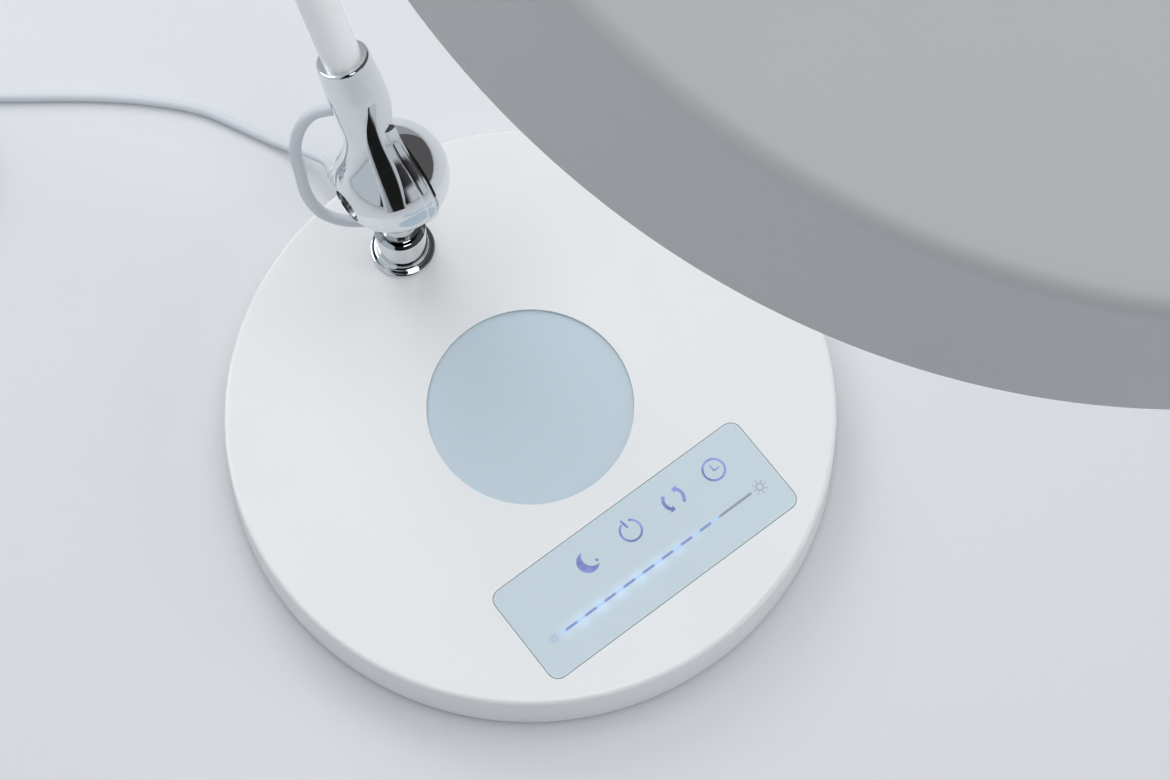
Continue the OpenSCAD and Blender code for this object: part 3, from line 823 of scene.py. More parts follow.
@dataclass(frozen=True)
class PhotoCamera:
    """The photograph's viewpoint.

    Attributes:
        place: Position.
        azimuth: Turn about the vertical in degrees; 0 looks along +Y.
        elevation: Degrees above the horizon.
        roll: Degrees about the line of sight.
        focal: Focal length in pixels.
        image_width: Width of the photograph in pixels.
        sensor: Width of the sensor in mm.
        clip: Nearest and farthest distance.
    """

    place: Point = (-0.2078, -0.3065, 1.0481)
    azimuth: float = -37.315
    elevation: float = 69.84
    roll: float = -0.106
    focal: float = 2900.0
    image_width: float = 1170.0
    sensor: float = 36.0
    clip: Flat = (0.01, 50.0)

    def build(self) -> Object:
        """Makes the camera and sets it as the scene's own.

        Returns:
            The camera.
        """
        data = bpy.data.cameras.new("photo_camera")
        data.sensor_fit = "HORIZONTAL"
        data.sensor_width = self.sensor
        data.lens = self.focal * self.sensor / self.image_width
        data.clip_start, data.clip_end = self.clip
        camera = link(bpy.data.objects.new("photo_camera", data))
        a, e = math.radians(self.azimuth), math.radians(self.elevation)
        right = Vector((math.cos(a), math.sin(a), 0.0))
        back = Vector((math.sin(a) * math.cos(e), -math.cos(a) * math.cos(e), math.sin(e)))
        axes = Matrix((right, back.cross(right), back)).transposed()
        turn = axes @ Matrix.Rotation(math.radians(self.roll), 3, "Z")
        camera.matrix_world = Matrix.Translation(self.place) @ turn.to_4x4()
        bpy.context.scene.camera = camera
        log.info("camera with a lens of %.1f mm", data.lens)
        return camera


# Cables

@dataclass
class PowerLead:
    """The thin lead from the base to its adapter, with the length that isn't seen in a tied coil.

    Attributes:
        diameter: Diameter of the lead.
        route: Points from the strain relief to the coil, in metres.
        coil_place: Middle of the coil on the table.
        coil_radius: Radius at the middle of its turns.
        coil_low: Height of its underside.
        coil_turns: Number of turns.
        coil_points: Number of points along it.
        first_angle: Where the lead comes in, in degrees.
        tail_angle: Where it leaves.
        lead_in: Angle in which the route joins the coil.
        shifts: Angle where the winding changes over, with its change of row and of layer.
        shift: Angle that a change takes.
        tail: Points from the coil's edge to the adapter.
        steps: Steps between two points of the route and of the tail.
    """

    diameter: float = 0.0038
    route: tuple[Point, ...] = (
        (0, 0.130, 0.011), (0, 0.135, 0.011), (-0.0025, 0.143, 0.00736), (-0.006, 0.151, 0.00372),
        (-0.010, 0.159, 0.0019), (-0.016, 0.171, 0.0019), (-0.024, 0.186, 0.0019),
        (-0.038, 0.202, 0.0019), (-0.056, 0.218, 0.0019), (-0.085, 0.240, 0.0019),
        (-0.098, 0.250, 0.0019), (-0.110, 0.259, 0.0019))
    coil_place: Flat = (-0.125, 0.239)
    coil_radius: float = 0.021
    coil_low: float = 0.0009
    coil_turns: int = 11
    coil_points: int = 470
    first_angle: float = 53.13
    tail_angle: float = 45.0
    lead_in: float = 14.0
    shifts: tuple[tuple[float, int, int], ...] = (
        (300, -1, 0), (660, -1, 0), (970, 0, 1), (1280, 1, 0), (1640, 1, 0), (1950, 0, 1),
        (2260, -1, 0), (2620, -1, 0), (2930, 0, 1), (3240, 1, 0), (3600, 1, 0))
    shift: float = 50.0
    tail: tuple[Point, ...] = ((-0.01, 0.0095, 0.0142), (-0.022, 0.0165, 0.0136),
                               (-0.034, 0.019, 0.013), (-0.0415, 0.019, 0.013))
    steps: tuple[int, int] = (4, 5)

    def coil_path(self) -> list[Vector]:
        """The winding, row beside row and layer on layer, a diameter apart.

        Returns:
            The points of its centre line.
        """
        last = self.coil_turns * 360.0 - (self.first_angle - self.tail_angle)
        path = []
        angle = self.lead_in
        while angle <= last:
            row, layer = 1.0, 0.0
            for begin, rows, layers in self.shifts:
                t = min(max((angle - begin) / self.shift, 0.0), 1.0)
                ease = t - math.sin(math.tau * t) / math.tau
                row, layer = row + rows * ease, layer + layers * ease
            spot = polar(self.coil_place, self.coil_radius + row * self.diameter,
                         math.radians(self.first_angle + angle))
            path.append(Vector((*spot, self.coil_low + (layer + 0.5) * self.diameter)))
            angle += (last - self.lead_in) / self.coil_points
        return path

    def build(self, dresser: Dresser, riders: Sequence[Object]) -> Object:
        """Makes the lead as one curve from the strain relief to the adapter.

        Args:
            dresser: Gives the finishes.
            riders: The pieces that are on the lead; not used.

        Returns:
            The lead.
        """
        coil = self.coil_path()
        edge = polar(self.coil_place, self.coil_radius + self.diameter, math.radians(self.tail_angle))
        tail = [Vector((*edge, 0.0)) + Vector(p) for p in self.tail]
        on_route, on_tail = self.steps
        end = smooth_path([coil[-2], coil[-1], *tail], on_tail)[on_tail + 1:]
        path = smooth_path(self.route, on_route) + coil + end
        lead = path_curve("power_lead", path, self.diameter / 2)
        lead.data.materials.append(dresser.materials["cable_white"])
        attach(lead, "base")
        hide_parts("lead", "lead_coil", "lead_tail")
        return lead


class HingePlace(Enum):
    """The knuckles: joint, cable loop, arm-side body, lean of the tube side, turn of the arm side."""

    BASE = ("base_hinge", "base_loop", "lower_arm", 0.0, -22.0)
    ELBOW = ("elbow_hinge", "elbow_loop", "upper_arm", -22.0, 59.0)
    HEAD = ("head_hinge", "head_loop", "head", 37.0, 69.0)

    def __init__(self, label: str, loop: str, body: str, lean: float, turn: float) -> None:
        """Keeps the parts of a value under their names; angles are in degrees."""
        self.label, self.loop, self.body, self.lean, self.turn = label, loop, body, lean, turn

    @property
    def joint(self) -> dict:
        """The joint in the frame."""
        return next(j for j in frame["joints"] if j["name"] == self.label)

    def spot(self, point: Sequence[float], degrees: float) -> Vector:
        """A point in mm from the hinge, turned about it, in the lamp's frame."""
        return Vector(self.joint["pos_m"]) + turn_x(point, degrees) * MM


@dataclass
class CableLoop:
    """The cable that leaves one neck of a knuckle and goes round the ball into the other.

    Attributes:
        place: Which knuckle.
        diameter: Diameter of the cable.
        sides: Number of sides of the cable.
        low: Points beside the tube-side neck, from the inside out, in mm from the hinge.
        high: Points beside the arm-side neck, from the outside in.
        middle: Point beside the ball.
        inside: How far up each neck the cable starts.
        straight: Length of its straight start in each neck.
        bends: Distance from the hinge of the two points where it would start to bend; they are worked out but not
            used.
        steps: Steps between two points.
    """

    place: HingePlace
    diameter: float = 0.0046
    sides: int = 20
    low: tuple[Point, ...] = ((-1.2, 0.8, -45.5), (-4, 2.7, -41.8), (-8.3, 5.6, -39.6),
                              (-15.8, 11.3, -39.6), (-21.8, 18, -36), (-24.4, 22.2, -24))
    high: tuple[Point, ...] = ((-23.6, 20.4, 18), (-19.6, 16.4, 29.5), (-14, 12.3, 35.5),
                               (-7.2, 6.4, 37.2), (-3.6, 3.2, 39), (-1.1, 1, 42.4))
    middle: Point = (-24.6, 23.9, 0)
    inside: float = 54.0
    straight: Flat = (4.0, 7.0)
    bends: float = 30.0
    steps: int = 7

    def path(self) -> list[Vector]:
        """Lays the cable's centre line round the knuckle.

        Returns:
            Its points in the lamp's frame.
        """
        end, turn = self.inside, self.place.turn
        points = [Vector(p) for p in ((0, 0, -end), (0, 0, -end + self.straight[0]), *self.low)]
        points.append(turn_x(self.middle, turn / 2))
        points += [turn_x(p, turn) for p in (*self.high, (0, 0, end - self.straight[1]), (0, 0, end))]
        return smooth_path([self.place.spot(p, self.place.lean) for p in points], self.steps)

    def build(self, dresser: Dresser) -> Object:
        """Sweeps the cable along its path.

        Args:
            dresser: Gives the finishes.

        Returns:
            The cable.
        """
        place = self.place
        line = path_curve(place.loop + "_line", self.path())
        tree = FieldTree("cable_sweep", Line=line, Radius=self.diameter / 2, Sides=self.sides)
        graph, sizes = tree.graph, tree.sizes
        curve = graph.add("GeometryNodeObjectInfo", Object=sizes["Line"]).outputs["Geometry"]
        ring = graph.geo("CurvePrimitiveCircle", Resolution=sizes["Sides"], Radius=sizes["Radius"])
        tube = graph.geo("CurveToMesh", Curve=curve, Profile_Curve=ring, Fill_Caps=True)
        mesh = tree.mesh(tube, dresser.materials["cable_white"])
        bpy.data.objects.remove(line)
        loop = dresser.piece(place.loop + "_cable", mesh, None, "cable_white")
        start = place.spot((0, 0, -self.bends), place.lean)
        end = place.spot((0, 0, self.bends), place.lean + place.turn)
        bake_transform(loop)
        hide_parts(place.loop)
        return loop


# Chrome trims

@dataclass
class KnuckleTrim:
    """A chromed trim on the arm side of a knuckle, lofted through rows of points.

    Attributes:
        place: Which knuckle.
        kind: What kind of trim, for its name.
        sharp: Least angle of its sharp edges, in degrees.
    """

    place: HingePlace
    kind: ClassVar[str]
    sharp: ClassVar[float] = 50.0

    def rows(self) -> list[list[Vector]]:
        """The trim's points, in mm from the hinge with Z up the arm-side neck."""
        raise NotImplementedError

    def build(self, dresser: Dresser) -> Object:
        """Lofts the trim in its place.

        Args:
            dresser: Gives the finishes.

        Returns:
            The trim.
        """
        place, name = self.place, f"{self.place.label}_{self.kind}"
        turn = place.lean + place.turn
        shape = loft([place.spot(p, turn) for p in row] for row in self.rows())
        return dresser.piece(name, as_mesh(shape, name, self.sharp), place.body, "chrome")


@dataclass
class LipBead(KnuckleTrim):
    """The rounded bead along the cut edge of a knuckle, from the ball up the hollow of the neck.

    Attributes:
        ball: Radius of the ball, in mm.
        neck: Radius of the neck.
        hollow: Radius of the blend between them.
        top: Height of the bead's ends.
        steps: Number of steps along the hollow and along half the ball.
        section: Place across the cut and height above the ball of each point of the bead.
    """

    kind = "lip_bead"
    ball: float = 21.0
    neck: float = 10.5
    hollow: float = 25.0
    top: float = 30.4
    steps: tuple[int, int] = (24, 60)
    section: tuple[Flat, ...] = (
        (0.5, -0.3), (0.75, 0.08), (1.0, 0.36), (1.4, 0.55), (2.0, 0.64), (3.1, 0.68), (4.0, 0.60),
        (4.5, 0.42), (4.85, 0.12), (4.98, -0.3), (4.98, -1.2))

    def edge(self) -> list[tuple[Vector, Vector]]:
        """Follows the cut edge from end to end, across and along the neck.

        Returns:
            Points of the edge, each with its outward way.
        """
        reach = self.neck + self.hollow
        rise = math.sqrt((self.ball + self.hollow) ** 2 - reach ** 2)
        meet = math.atan2(rise, reach)
        stop = math.asin(max(rise - self.top, 0.0) / self.hollow)
        on_hollow, on_ball = self.steps
        half = [(Vector((self.neck, self.top)), Vector((1.0, 0.0)))] if self.top > rise else []
        for k in range(on_hollow, 0, -1):
            a = math.pi + meet + (stop - meet) * k / on_hollow
            out = Vector((-math.cos(a), -math.sin(a)))
            half.append((Vector((reach, rise)) - out * self.hollow, out))
        for k in range(on_ball + 1):
            a = meet - (meet + math.pi / 2) * k / on_ball
            out = Vector((math.cos(a), math.sin(a)))
            half.append((out * self.ball, out))
        return half + [(Vector((-p.x, p.y)), Vector((-o.x, o.y))) for p, o in reversed(half[:-1])]

    def rows(self) -> list[list[Vector]]:
        """The bead's section at each point of the edge."""
        return [[Vector((across, *(spot + out * height))) for across, height in self.section]
                for spot, out in self.edge()]


@dataclass
class NeckFacet(KnuckleTrim):
    """The long narrow facet that runs straight from a knuckle's neck down to its ball.

    Attributes:
        stations: Height along the neck in mm, with both edges as angles round it.
        steps: Steps between stations.
        face: Faces across it.
        top: Height where it leaves the neck.
        neck: Radius of the neck.
        slope: Degrees between it and the neck.
        root: Radius where its sides end inside the neck.
        edge: Width of its rounded edges.
        rounding: How far in and out each point of an edge is, from the root up, in widths.
    """

    kind = "neck_facet"
    stations: tuple[Point, ...] = (
        (46.5, -4.0, 14.0), (43.0, -12.0, 6.0), (37.5, -25.0, -6.5), (30.0, -33.5, -10.0),
        (21.0, -35.0, -9.0), (13.0, -34.5, -10.5), (3.0, -37.0, -16.0))
    steps: int = 6
    face: int = 6
    top: float = 45.2
    neck: float = 10.5
    slope: float = 13.9
    root: float = 9.5
    edge: float = 0.35
    rounding: tuple[Flat, ...] = ((2.0, 1.2), (0.35, 0.7))

    def row(self, height: float, left: float, right: float) -> list[Vector]:
        """The facet's outline at one height, from one root over the face to the other.

        Args:
            height: Height along the neck in mm.
            left: Angle of the left edge round the neck, in degrees.
            right: Angle of the right edge.

        Returns:
            The outline's points.
        """
        radius = self.neck + (self.top - height) * math.tan(math.radians(self.slope))
        width = math.degrees(self.edge / radius)
        side = [(self.root, 2 * width)]
        side += [(radius - inward * self.edge, out * width) for inward, out in self.rounding]
        spots = [(r, left - out) for r, out in side]
        spots += [(radius, left + (right - left) * k / self.face) for k in range(self.face + 1)]
        spots += [(r, right + out) for r, out in reversed(side)]
        turned = [(r, math.radians(angle)) for r, angle in spots]
        return [Vector((r * math.sin(a), -r * math.cos(a), height)) for r, a in turned]

    def rows(self) -> list[list[Vector]]:
        """The outline at each step along the stations."""
        return [self.row(*station) for station in smooth_path(self.stations, self.steps)]


# Touch panel

class Pen:
    """Draws flat marks as thin raised print on the panel.

    Attributes:
        cap: Steps round the end of a bar.
        seam: Distance within which corners are joined.
    """

    cap: ClassVar[int] = 6
    seam: ClassVar[float] = 1e-7

    def __init__(self, height: float, thickness: float = 0.00006) -> None:
        """Starts an empty sheet of marks.

        Args:
            height: Height of the face that carries the print.
            thickness: Thickness of the print.
        """
        self.sheet = bmesh.new()
        self.height = height
        self.thickness = thickness

    def shape(self, outline: Iterable[Flat]) -> None:
        """Adds one closed outline.

        Args:
            outline: Its points in mm, counter-clockwise.
        """
        sheet, top = self.sheet, self.height + self.thickness
        low = [sheet.verts.new((x * MM, y * MM, self.height)) for x, y in outline]
        high = [sheet.verts.new((v.co.x, v.co.y, top)) for v in low]
        sheet.faces.new(list(reversed(low)))
        sheet.faces.new(high)
        for i in range(len(low)):
            k = (i + 1) % len(low)
            sheet.faces.new((low[i], low[k], high[k], high[i]))

    def bar(self, a: Flat, b: Flat, width: float) -> None:
        """Adds a bar with round ends.

        Args:
            a: Middle of one end, in mm.
            b: Middle of the other.
            width: Its width.
        """
        turn = math.atan2(b[1] - a[1], b[0] - a[0])
        ends = ((b, turn - math.pi / 2), (a, turn + math.pi / 2))
        self.shape([polar(end, width / 2, first + k * math.pi / self.cap)
                    for end, first in ends for k in range(self.cap + 1)])

    def arc(self, at: Flat, radius: float, width: float, first: float, last: float,
            pieces: int = 48) -> None:
        """Adds an arc of a ring.

        Args:
            at: Middle of the ring, in mm.
            radius: Radius at the middle of its width.
            width: Its width.
            first: Angle of one end, in degrees.
            last: Angle of the other.
            pieces: Number of pieces in a whole ring.
        """
        steps = max(int(pieces * abs(last - first) / 360), 4)
        angles = [math.radians(first + (last - first) * k / steps) for k in range(steps + 1)]
        r_out, r_in = radius + width / 2, radius - width / 2
        for a, b in zip(angles, angles[1:]):
            self.shape([polar(at, r, t) for r, t in ((r_in, a), (r_out, a), (r_out, b), (r_in, b))])

    def disc(self, at: Flat, radius: float, sides: int = 20) -> None:
        """Adds a round dot."""
        self.shape([polar(at, radius, math.tau * k / sides) for k in range(sides)])

    def mesh(self, name: str) -> Mesh:
        """Turns the sheet into a mesh with joined seams."""
        bmesh.ops.remove_doubles(self.sheet, verts=self.sheet.verts, dist=self.seam)
        return as_mesh(self.sheet, name)


class Mark(Enum):
    """The marks on the panel, with their place in mm."""

    MOON = (-20.0, -61.7)
    POWER = (0.0, -61.7)
    CYCLE = (20.0, -61.7)
    CLOCK = (39.0, -61.7)
    SUN_LOW = (-47.4, -77.4)
    SUN_HIGH = (48.4, -77.4)


@dataclass
class TouchMarks:
    """The lit touch symbols and the brightness slider.

    Attributes:
        height: Height of the panel's face.
        radius: Radius of a round symbol, in mm.
        stroke: Width of a line, in mm.
        slider_y: Line of the slider, in mm.
        slider: Start and end of the slider's lit part, and of its dark part, along X in mm.
        slider_width: Width of the slider.
        rays: Number of rays of a sun.
        crescent: Radius of the moon, in mm.
        bite: Place and radius of the round that is cut out of it.
        star: Place and radius of its star.
        arrow: Width of the cycle's arrows and half the width of their heads.
        fine: Width of the clock's hands, and of a sun's ring and rays.
    """

    height: float
    radius: float = 4.1
    stroke: float = 0.82
    slider_y: float = -77.4
    slider: tuple[Flat, Flat] = ((-44.0, 29.0), (29.9, 44.0))
    slider_width: float = 0.95
    rays: int = 8
    crescent: float = 4.3
    bite: Point = (2.5, 1.1, 3.9)
    star: Point = (3.1, -1.3, 0.6)
    arrow: Flat = (1.3, 1.5)
    fine: Point = (0.5, 0.35, 0.3)

    def moon(self, pen: Pen) -> None:
        """A crescent with a small star dot.

        Args:
            pen: Draws it.
        """
        x, y = Mark.MOON.value
        (bite_x, bite_y, bite), (star_x, star_y, star) = self.bite, self.star
        cut = (x + bite_x, y + bite_y)
        outer = [polar((x, y), self.crescent, math.radians(a)) for a in range(88, 321, 8)]
        inner = [polar(cut, bite, math.radians(a)) for a in range(280, 127, -8)]
        pen.shape(outer + inner)
        pen.disc((x + star_x, y + star_y), star)

    def power(self, pen: Pen) -> None:
        """A broken ring with a stroke.

        Args:
            pen: Draws it.
        """
        x, y = Mark.POWER.value
        pen.arc((x, y), self.radius, self.stroke, 112, 428)
        pen.bar((x - 0.3, y + 1.8), (x - 0.9, y + 5.0), self.stroke)

    def cycle(self, pen: Pen) -> None:
        """Two arrows that chase each other.

        Args:
            pen: Draws it.
        """
        at, r = Mark.CYCLE.value, self.radius - 0.1
        width, half = self.arrow
        for turn in (0, 180):
            pen.arc(at, r, width, turn - 52, turn + 44)
            base, tip = math.radians(turn + 43), math.radians(turn + 66)
            pen.shape([polar(at, r - half, base), polar(at, r + half, base), polar(at, r, tip)])

    def clock(self, pen: Pen) -> None:
        """A ring with two hands.

        Args:
            pen: Draws it.
        """
        x, y = Mark.CLOCK.value
        pen.arc((x, y), self.radius + 0.1, self.stroke, 0, 360)
        for end in ((x - 0.2, y + 2.2), (x + 2.2, y - 0.3)):
            pen.bar((x - 0.2, y - 0.3), end, self.fine[0])

    def sun(self, pen: Pen, mark: Mark, radius: float, inner: float, outer: float) -> None:
        """A ring with rays.

        Args:
            pen: Draws it.
            mark: Which of the two.
            radius: Radius of the ring, in mm.
            inner: Start of each ray.
            outer: End of each ray.
        """
        pen.arc(mark.value, radius, self.fine[1], 0, 360, pieces=24)
        for k in range(self.rays):
            t = math.tau * k / self.rays
            pen.bar(polar(mark.value, inner, t), polar(mark.value, outer, t), self.fine[2])

    def slide(self, pen: Pen, ends: Flat) -> None:
        """One part of the slider."""
        pen.bar((ends[0], self.slider_y), (ends[1], self.slider_y), self.slider_width)

    def build(self, dresser: Dresser) -> None:
        """Draws every mark and lays it on the panel.

        Args:
            dresser: Gives the finishes.
        """
        violet = dresser.extra(Lit("violet_mark", (0.15, 0.19, 0.44), 0.5, glow=0.08,
                                   second=(0.33, 0.36, 0.78)))
        grey = dresser.extra(Moulded("grey_print", (0.33, 0.38, 0.42), 0.5, 0.05, 0.1, grain=4000.0))
        blue = dresser.extra(Lit("blue_mark", (0.30, 0.42, 0.60), 0.5, glow=0.15,
                                 second=(0.45, 0.60, 0.85)))
        row = dresser.extra(Lit("slider_light", (0.21, 0.29, 0.58), 0.5, glow=0.12,
                                second=(0.46, 0.66, 0.95), pitch=SLIDER_PITCH))
        marks: tuple[tuple[str, Material, Callable, tuple], ...] = (
            ("moon_mark", violet, self.moon, ()), ("power_mark", violet, self.power, ()),
            ("cycle_mark", violet, self.cycle, ()), ("clock_mark", violet, self.clock, ()),
            ("low_sun_mark", blue, self.sun, (Mark.SUN_LOW, 0.9, 1.5, 2.0)),
            ("high_sun_mark", grey, self.sun, (Mark.SUN_HIGH, 1.35, 2.1, 2.8)),
            ("slider_lit", row, self.slide, (self.slider[0],)),
            ("slider_dark", grey, self.slide, (self.slider[1],)))
        for name, material, draw, sizes in marks:
            pen = Pen(self.height)
            draw(pen, *sizes)
            dresser.piece(name, pen.mesh(name), "base", "panel_glass", material)


# Small repeated pieces

@dataclass
class ReliefRibs:
    """Ribs round the strain relief, from the base's wall to its tip.

    Attributes:
        first: Distance of the first rib behind the base's middle.
        pitch: Distance between ribs.
        count: Number of ribs.
        radius: Radius of the first rib.
        narrowing: How much smaller each rib is, as a share of the first.
        bead: Radius of a rib's own section.
        sides: Number of sides round a rib and round its section.
        height: Height of the lead above the table.
    """

    first: float = 0.1195
    pitch: float = 0.0022
    count: int = 5
    radius: float = 0.0036
    narrowing: float = 0.055
    bead: float = 0.00045
    sides: tuple[int, int] = (40, 10)
    height: float = 0.011

    def build(self, dresser: Dresser) -> Object:
        """Repeats one ring along the relief with Geometry Nodes.

        Args:
            dresser: Gives the finishes.

        Returns:
            The ribs.
        """
        tree = FieldTree("relief_ribs", Count=self.count, Pitch=self.pitch, Radius=self.radius,
                         Narrowing=self.narrowing, Bead=self.bead)
        graph, sizes = tree.graph, tree.sizes
        line = graph.geo("MeshLine", Count=sizes["Count"], Offset=graph.vector(Y=sizes["Pitch"]))
        path, bead = (graph.geo("CurvePrimitiveCircle", Resolution=count, Radius=sizes[radius])
                      for count, radius in zip(self.sides, ("Radius", "Bead")))
        ring = graph.geo("CurveToMesh", Curve=path, Profile_Curve=bead)
        scale = graph.rest_of(graph.times(graph.geo("InputIndex"), sizes["Narrowing"]))
        ribs = graph.geo("InstanceOnPoints", Points=line, Instance=ring,
                         Rotation=(math.pi / 2, 0.0, 0.0), Scale=scale)
        mesh = tree.mesh(ribs, dresser.materials["cable_white"])
        mesh.transform(Matrix.Translation((0.0, self.first, self.height)))
        return dresser.piece("relief_ribs", mesh, "base", "cable_white")


@dataclass
class LightHead:
    """The head: its shell, the pad that its neck stands on and the lights behind the diffuser.

    Attributes:
        count: Number of lights.
        ring: Radius of the ring of lights.
        side: Side of a light.
        thick: Thickness of a light's base.
        dome: Radius of a light's dome as a share of its side, and how flat it is.
        dome_sides: Number of segments and of rings of a dome.
        dome_middle: Height of a dome's middle in its light.
        drop: Height of the lights in the head's own frame.
        tilt: Slope of the head in degrees.
        arm: Distance of its axis from the hinge.
        axis_height: Height of the neck's axis in the head's own frame.
        radius: Radius of the shell at its lower rim.
        taper: How much smaller it is at its top.
        depth: Height of the shell.
        wall: Thickness of its wall.
        edge: Radius of its upper edge.
        foot: Radius of its lower edges.
        flat: Radius of the flat middle of its top.
        ledge: Width, underside and top of the ledge inside.
        pad: Radius, start and end of the neck's pad.
        pad_edge: Radius of the pad's edge, and how far before the end its wall stops.
        hold: Distance of the rings that keep shading even from the flat faces' ends, the shoulder
            and the ledge.
        segments: Number of sides of the shell and of the pad.
        sharp: Least angle of a sharp edge in degrees.
    """

    count: int = 36
    ring: float = 0.080
    side: float = 0.003
    thick: float = 0.0006
    dome: Flat = (0.42, 0.3)
    dome_sides: tuple[int, int] = (14, 8)
    dome_middle: float = -0.0001
    drop: float = 0.0121
    tilt: float = 16.0
    arm: float = 0.1745
    axis_height: float = 0.0165
    radius: float = 0.122
    taper: float = 0.006
    depth: float = 0.033
    wall: float = 0.0022
    edge: float = 0.003
    foot: float = 0.0005
    flat: float = 0.06
    ledge: Point = (0.0034, 0.004, 0.006)
    pad: Point = (0.0123, 0.116, 0.1245)
    pad_edge: Flat = (0.0008, 0.001)
    hold: Point = (0.002, 0.001, 0.0002)
    segments: tuple[int, int] = (256, 72)
    sharp: float = 32.0

    def frame(self) -> Matrix:
        """The head's own frame: Z out of its top, Y towards the hinge.

        Returns:
            The matrix from it to the lamp's frame.
        """
        turn = Matrix.Rotation(math.radians(90 + self.tilt), 4, "X")
        back = Matrix.Rotation(math.radians(-90), 4, "X")
        inward = Matrix.Translation((0.0, -self.axis_height, self.arm)) @ back
        return Matrix.Translation(HingePlace.HEAD.joint["pos_m"]) @ turn @ inward

    def shell(self, dresser: Dresser) -> Object:
        """Turns the drum with its rounded edges and its inner ledge.

        Args:
            dresser: Gives the finishes.

        Returns:
            The drum.
        """
        top, inner, foot = self.radius - self.taper, self.radius - self.wall, self.foot
        shoulder, roof = self.depth - self.edge, self.depth - self.wall
        slope = self.taper / shoulder
        width, low, high = self.ledge
        rim, near, close = self.hold
        profile = [(0.0, self.depth), (self.flat, self.depth), (top - self.edge - rim, self.depth)]
        profile += bent((top - self.edge, shoulder), self.edge, 90, 12, 10)
        profile += [(top + slope * near, shoulder - near), (self.radius - slope * rim, rim)]
        profile += bent((self.radius - foot, foot), foot, 0, -90, 5)
        profile += bent((inner + foot, foot), foot, -90, -180, 5)
        profile += [(inner - slope * (low - close), low - close), (inner - slope * low, low),
                    (inner - width, low), (inner - width, high), (inner - slope * high, high)]
        profile += [(inner - slope * shoulder, shoulder), (top - self.edge, roof), (self.flat, roof),
                    (0.0, roof)]
        made = as_mesh(lathe(profile, self.segments[0]), "head_shell", self.sharp, self.frame())
        drum = dresser.piece("head_shell", made, "head", "head_grey")
        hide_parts("head_housing")
        return drum

    def neck_pad(self, dresser: Dresser) -> Object:
        """Turns the pad that the neck stands on.

        Args:
            dresser: Gives the finishes.

        Returns:
            The pad.
        """
        radius, start, end = self.pad
        edge, stop = self.pad_edge
        outline = [(0.0, start), (radius, start), (radius, end - stop)]
        outline += bent((radius - edge, end - edge), edge, 12, 90, 5)
        outline.append((0.0, end))
        place = (self.frame() @ Matrix.Translation((0.0, 0.0, self.axis_height))
                 @ Matrix.Rotation(math.radians(-90), 4, "X"))
        made = as_mesh(lathe(outline, self.segments[1]), "neck_pad", self.sharp, place)
        return dresser.piece("neck_pad", made, "head", "head_grey")

    def build(self, dresser: Dresser) -> Object:
        """Repeats one light, a base with a low dome, round the ring, and adds shell and pad.

        Args:
            dresser: Gives the finishes.

        Returns:
            The ring of lights.
        """
        tree = FieldTree("light_ring", Count=self.count, Ring=self.ring, Side=self.side)
        graph, sizes = tree.graph, tree.sizes
        ring = graph.geo("MeshCircle", Vertices=sizes["Count"], Radius=sizes["Ring"])
        block = graph.geo("MeshCube", Size=graph.vector(X=sizes["Side"], Y=sizes["Side"], Z=self.thick))
        share, flatness = self.dome
        segments, rings = self.dome_sides
        dome = graph.geo("MeshUVSphere", Segments=segments, Rings=rings,
                         Radius=graph.times(sizes["Side"], share))
        flat = graph.geo("Transform", Geometry=dome, Translation=(0.0, 0.0, self.dome_middle),
                         Scale=(1.0, 1.0, flatness))
        light = graph.add("GeometryNodeJoinGeometry")
        for part in (block, flat):
            graph.feed(light.inputs[0], part)
        angle = graph.times(graph.geo("InputIndex"), graph.maths("DIVIDE", math.tau, sizes["Count"]))
        lights = graph.geo("InstanceOnPoints", Points=ring, Instance=light.outputs[0],
                           Rotation=graph.vector(Z=angle))
        mesh = tree.mesh(lights, dresser.materials["light_yellow"], smooth=False)
        mesh.transform(self.frame() @ Matrix.Translation((0.0, 0.0, self.drop)))
        self.shell(dresser)
        self.neck_pad(dresser)
        piece = dresser.piece("light_chips", mesh, "head", "light_yellow")
        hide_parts("lights")
        return piece


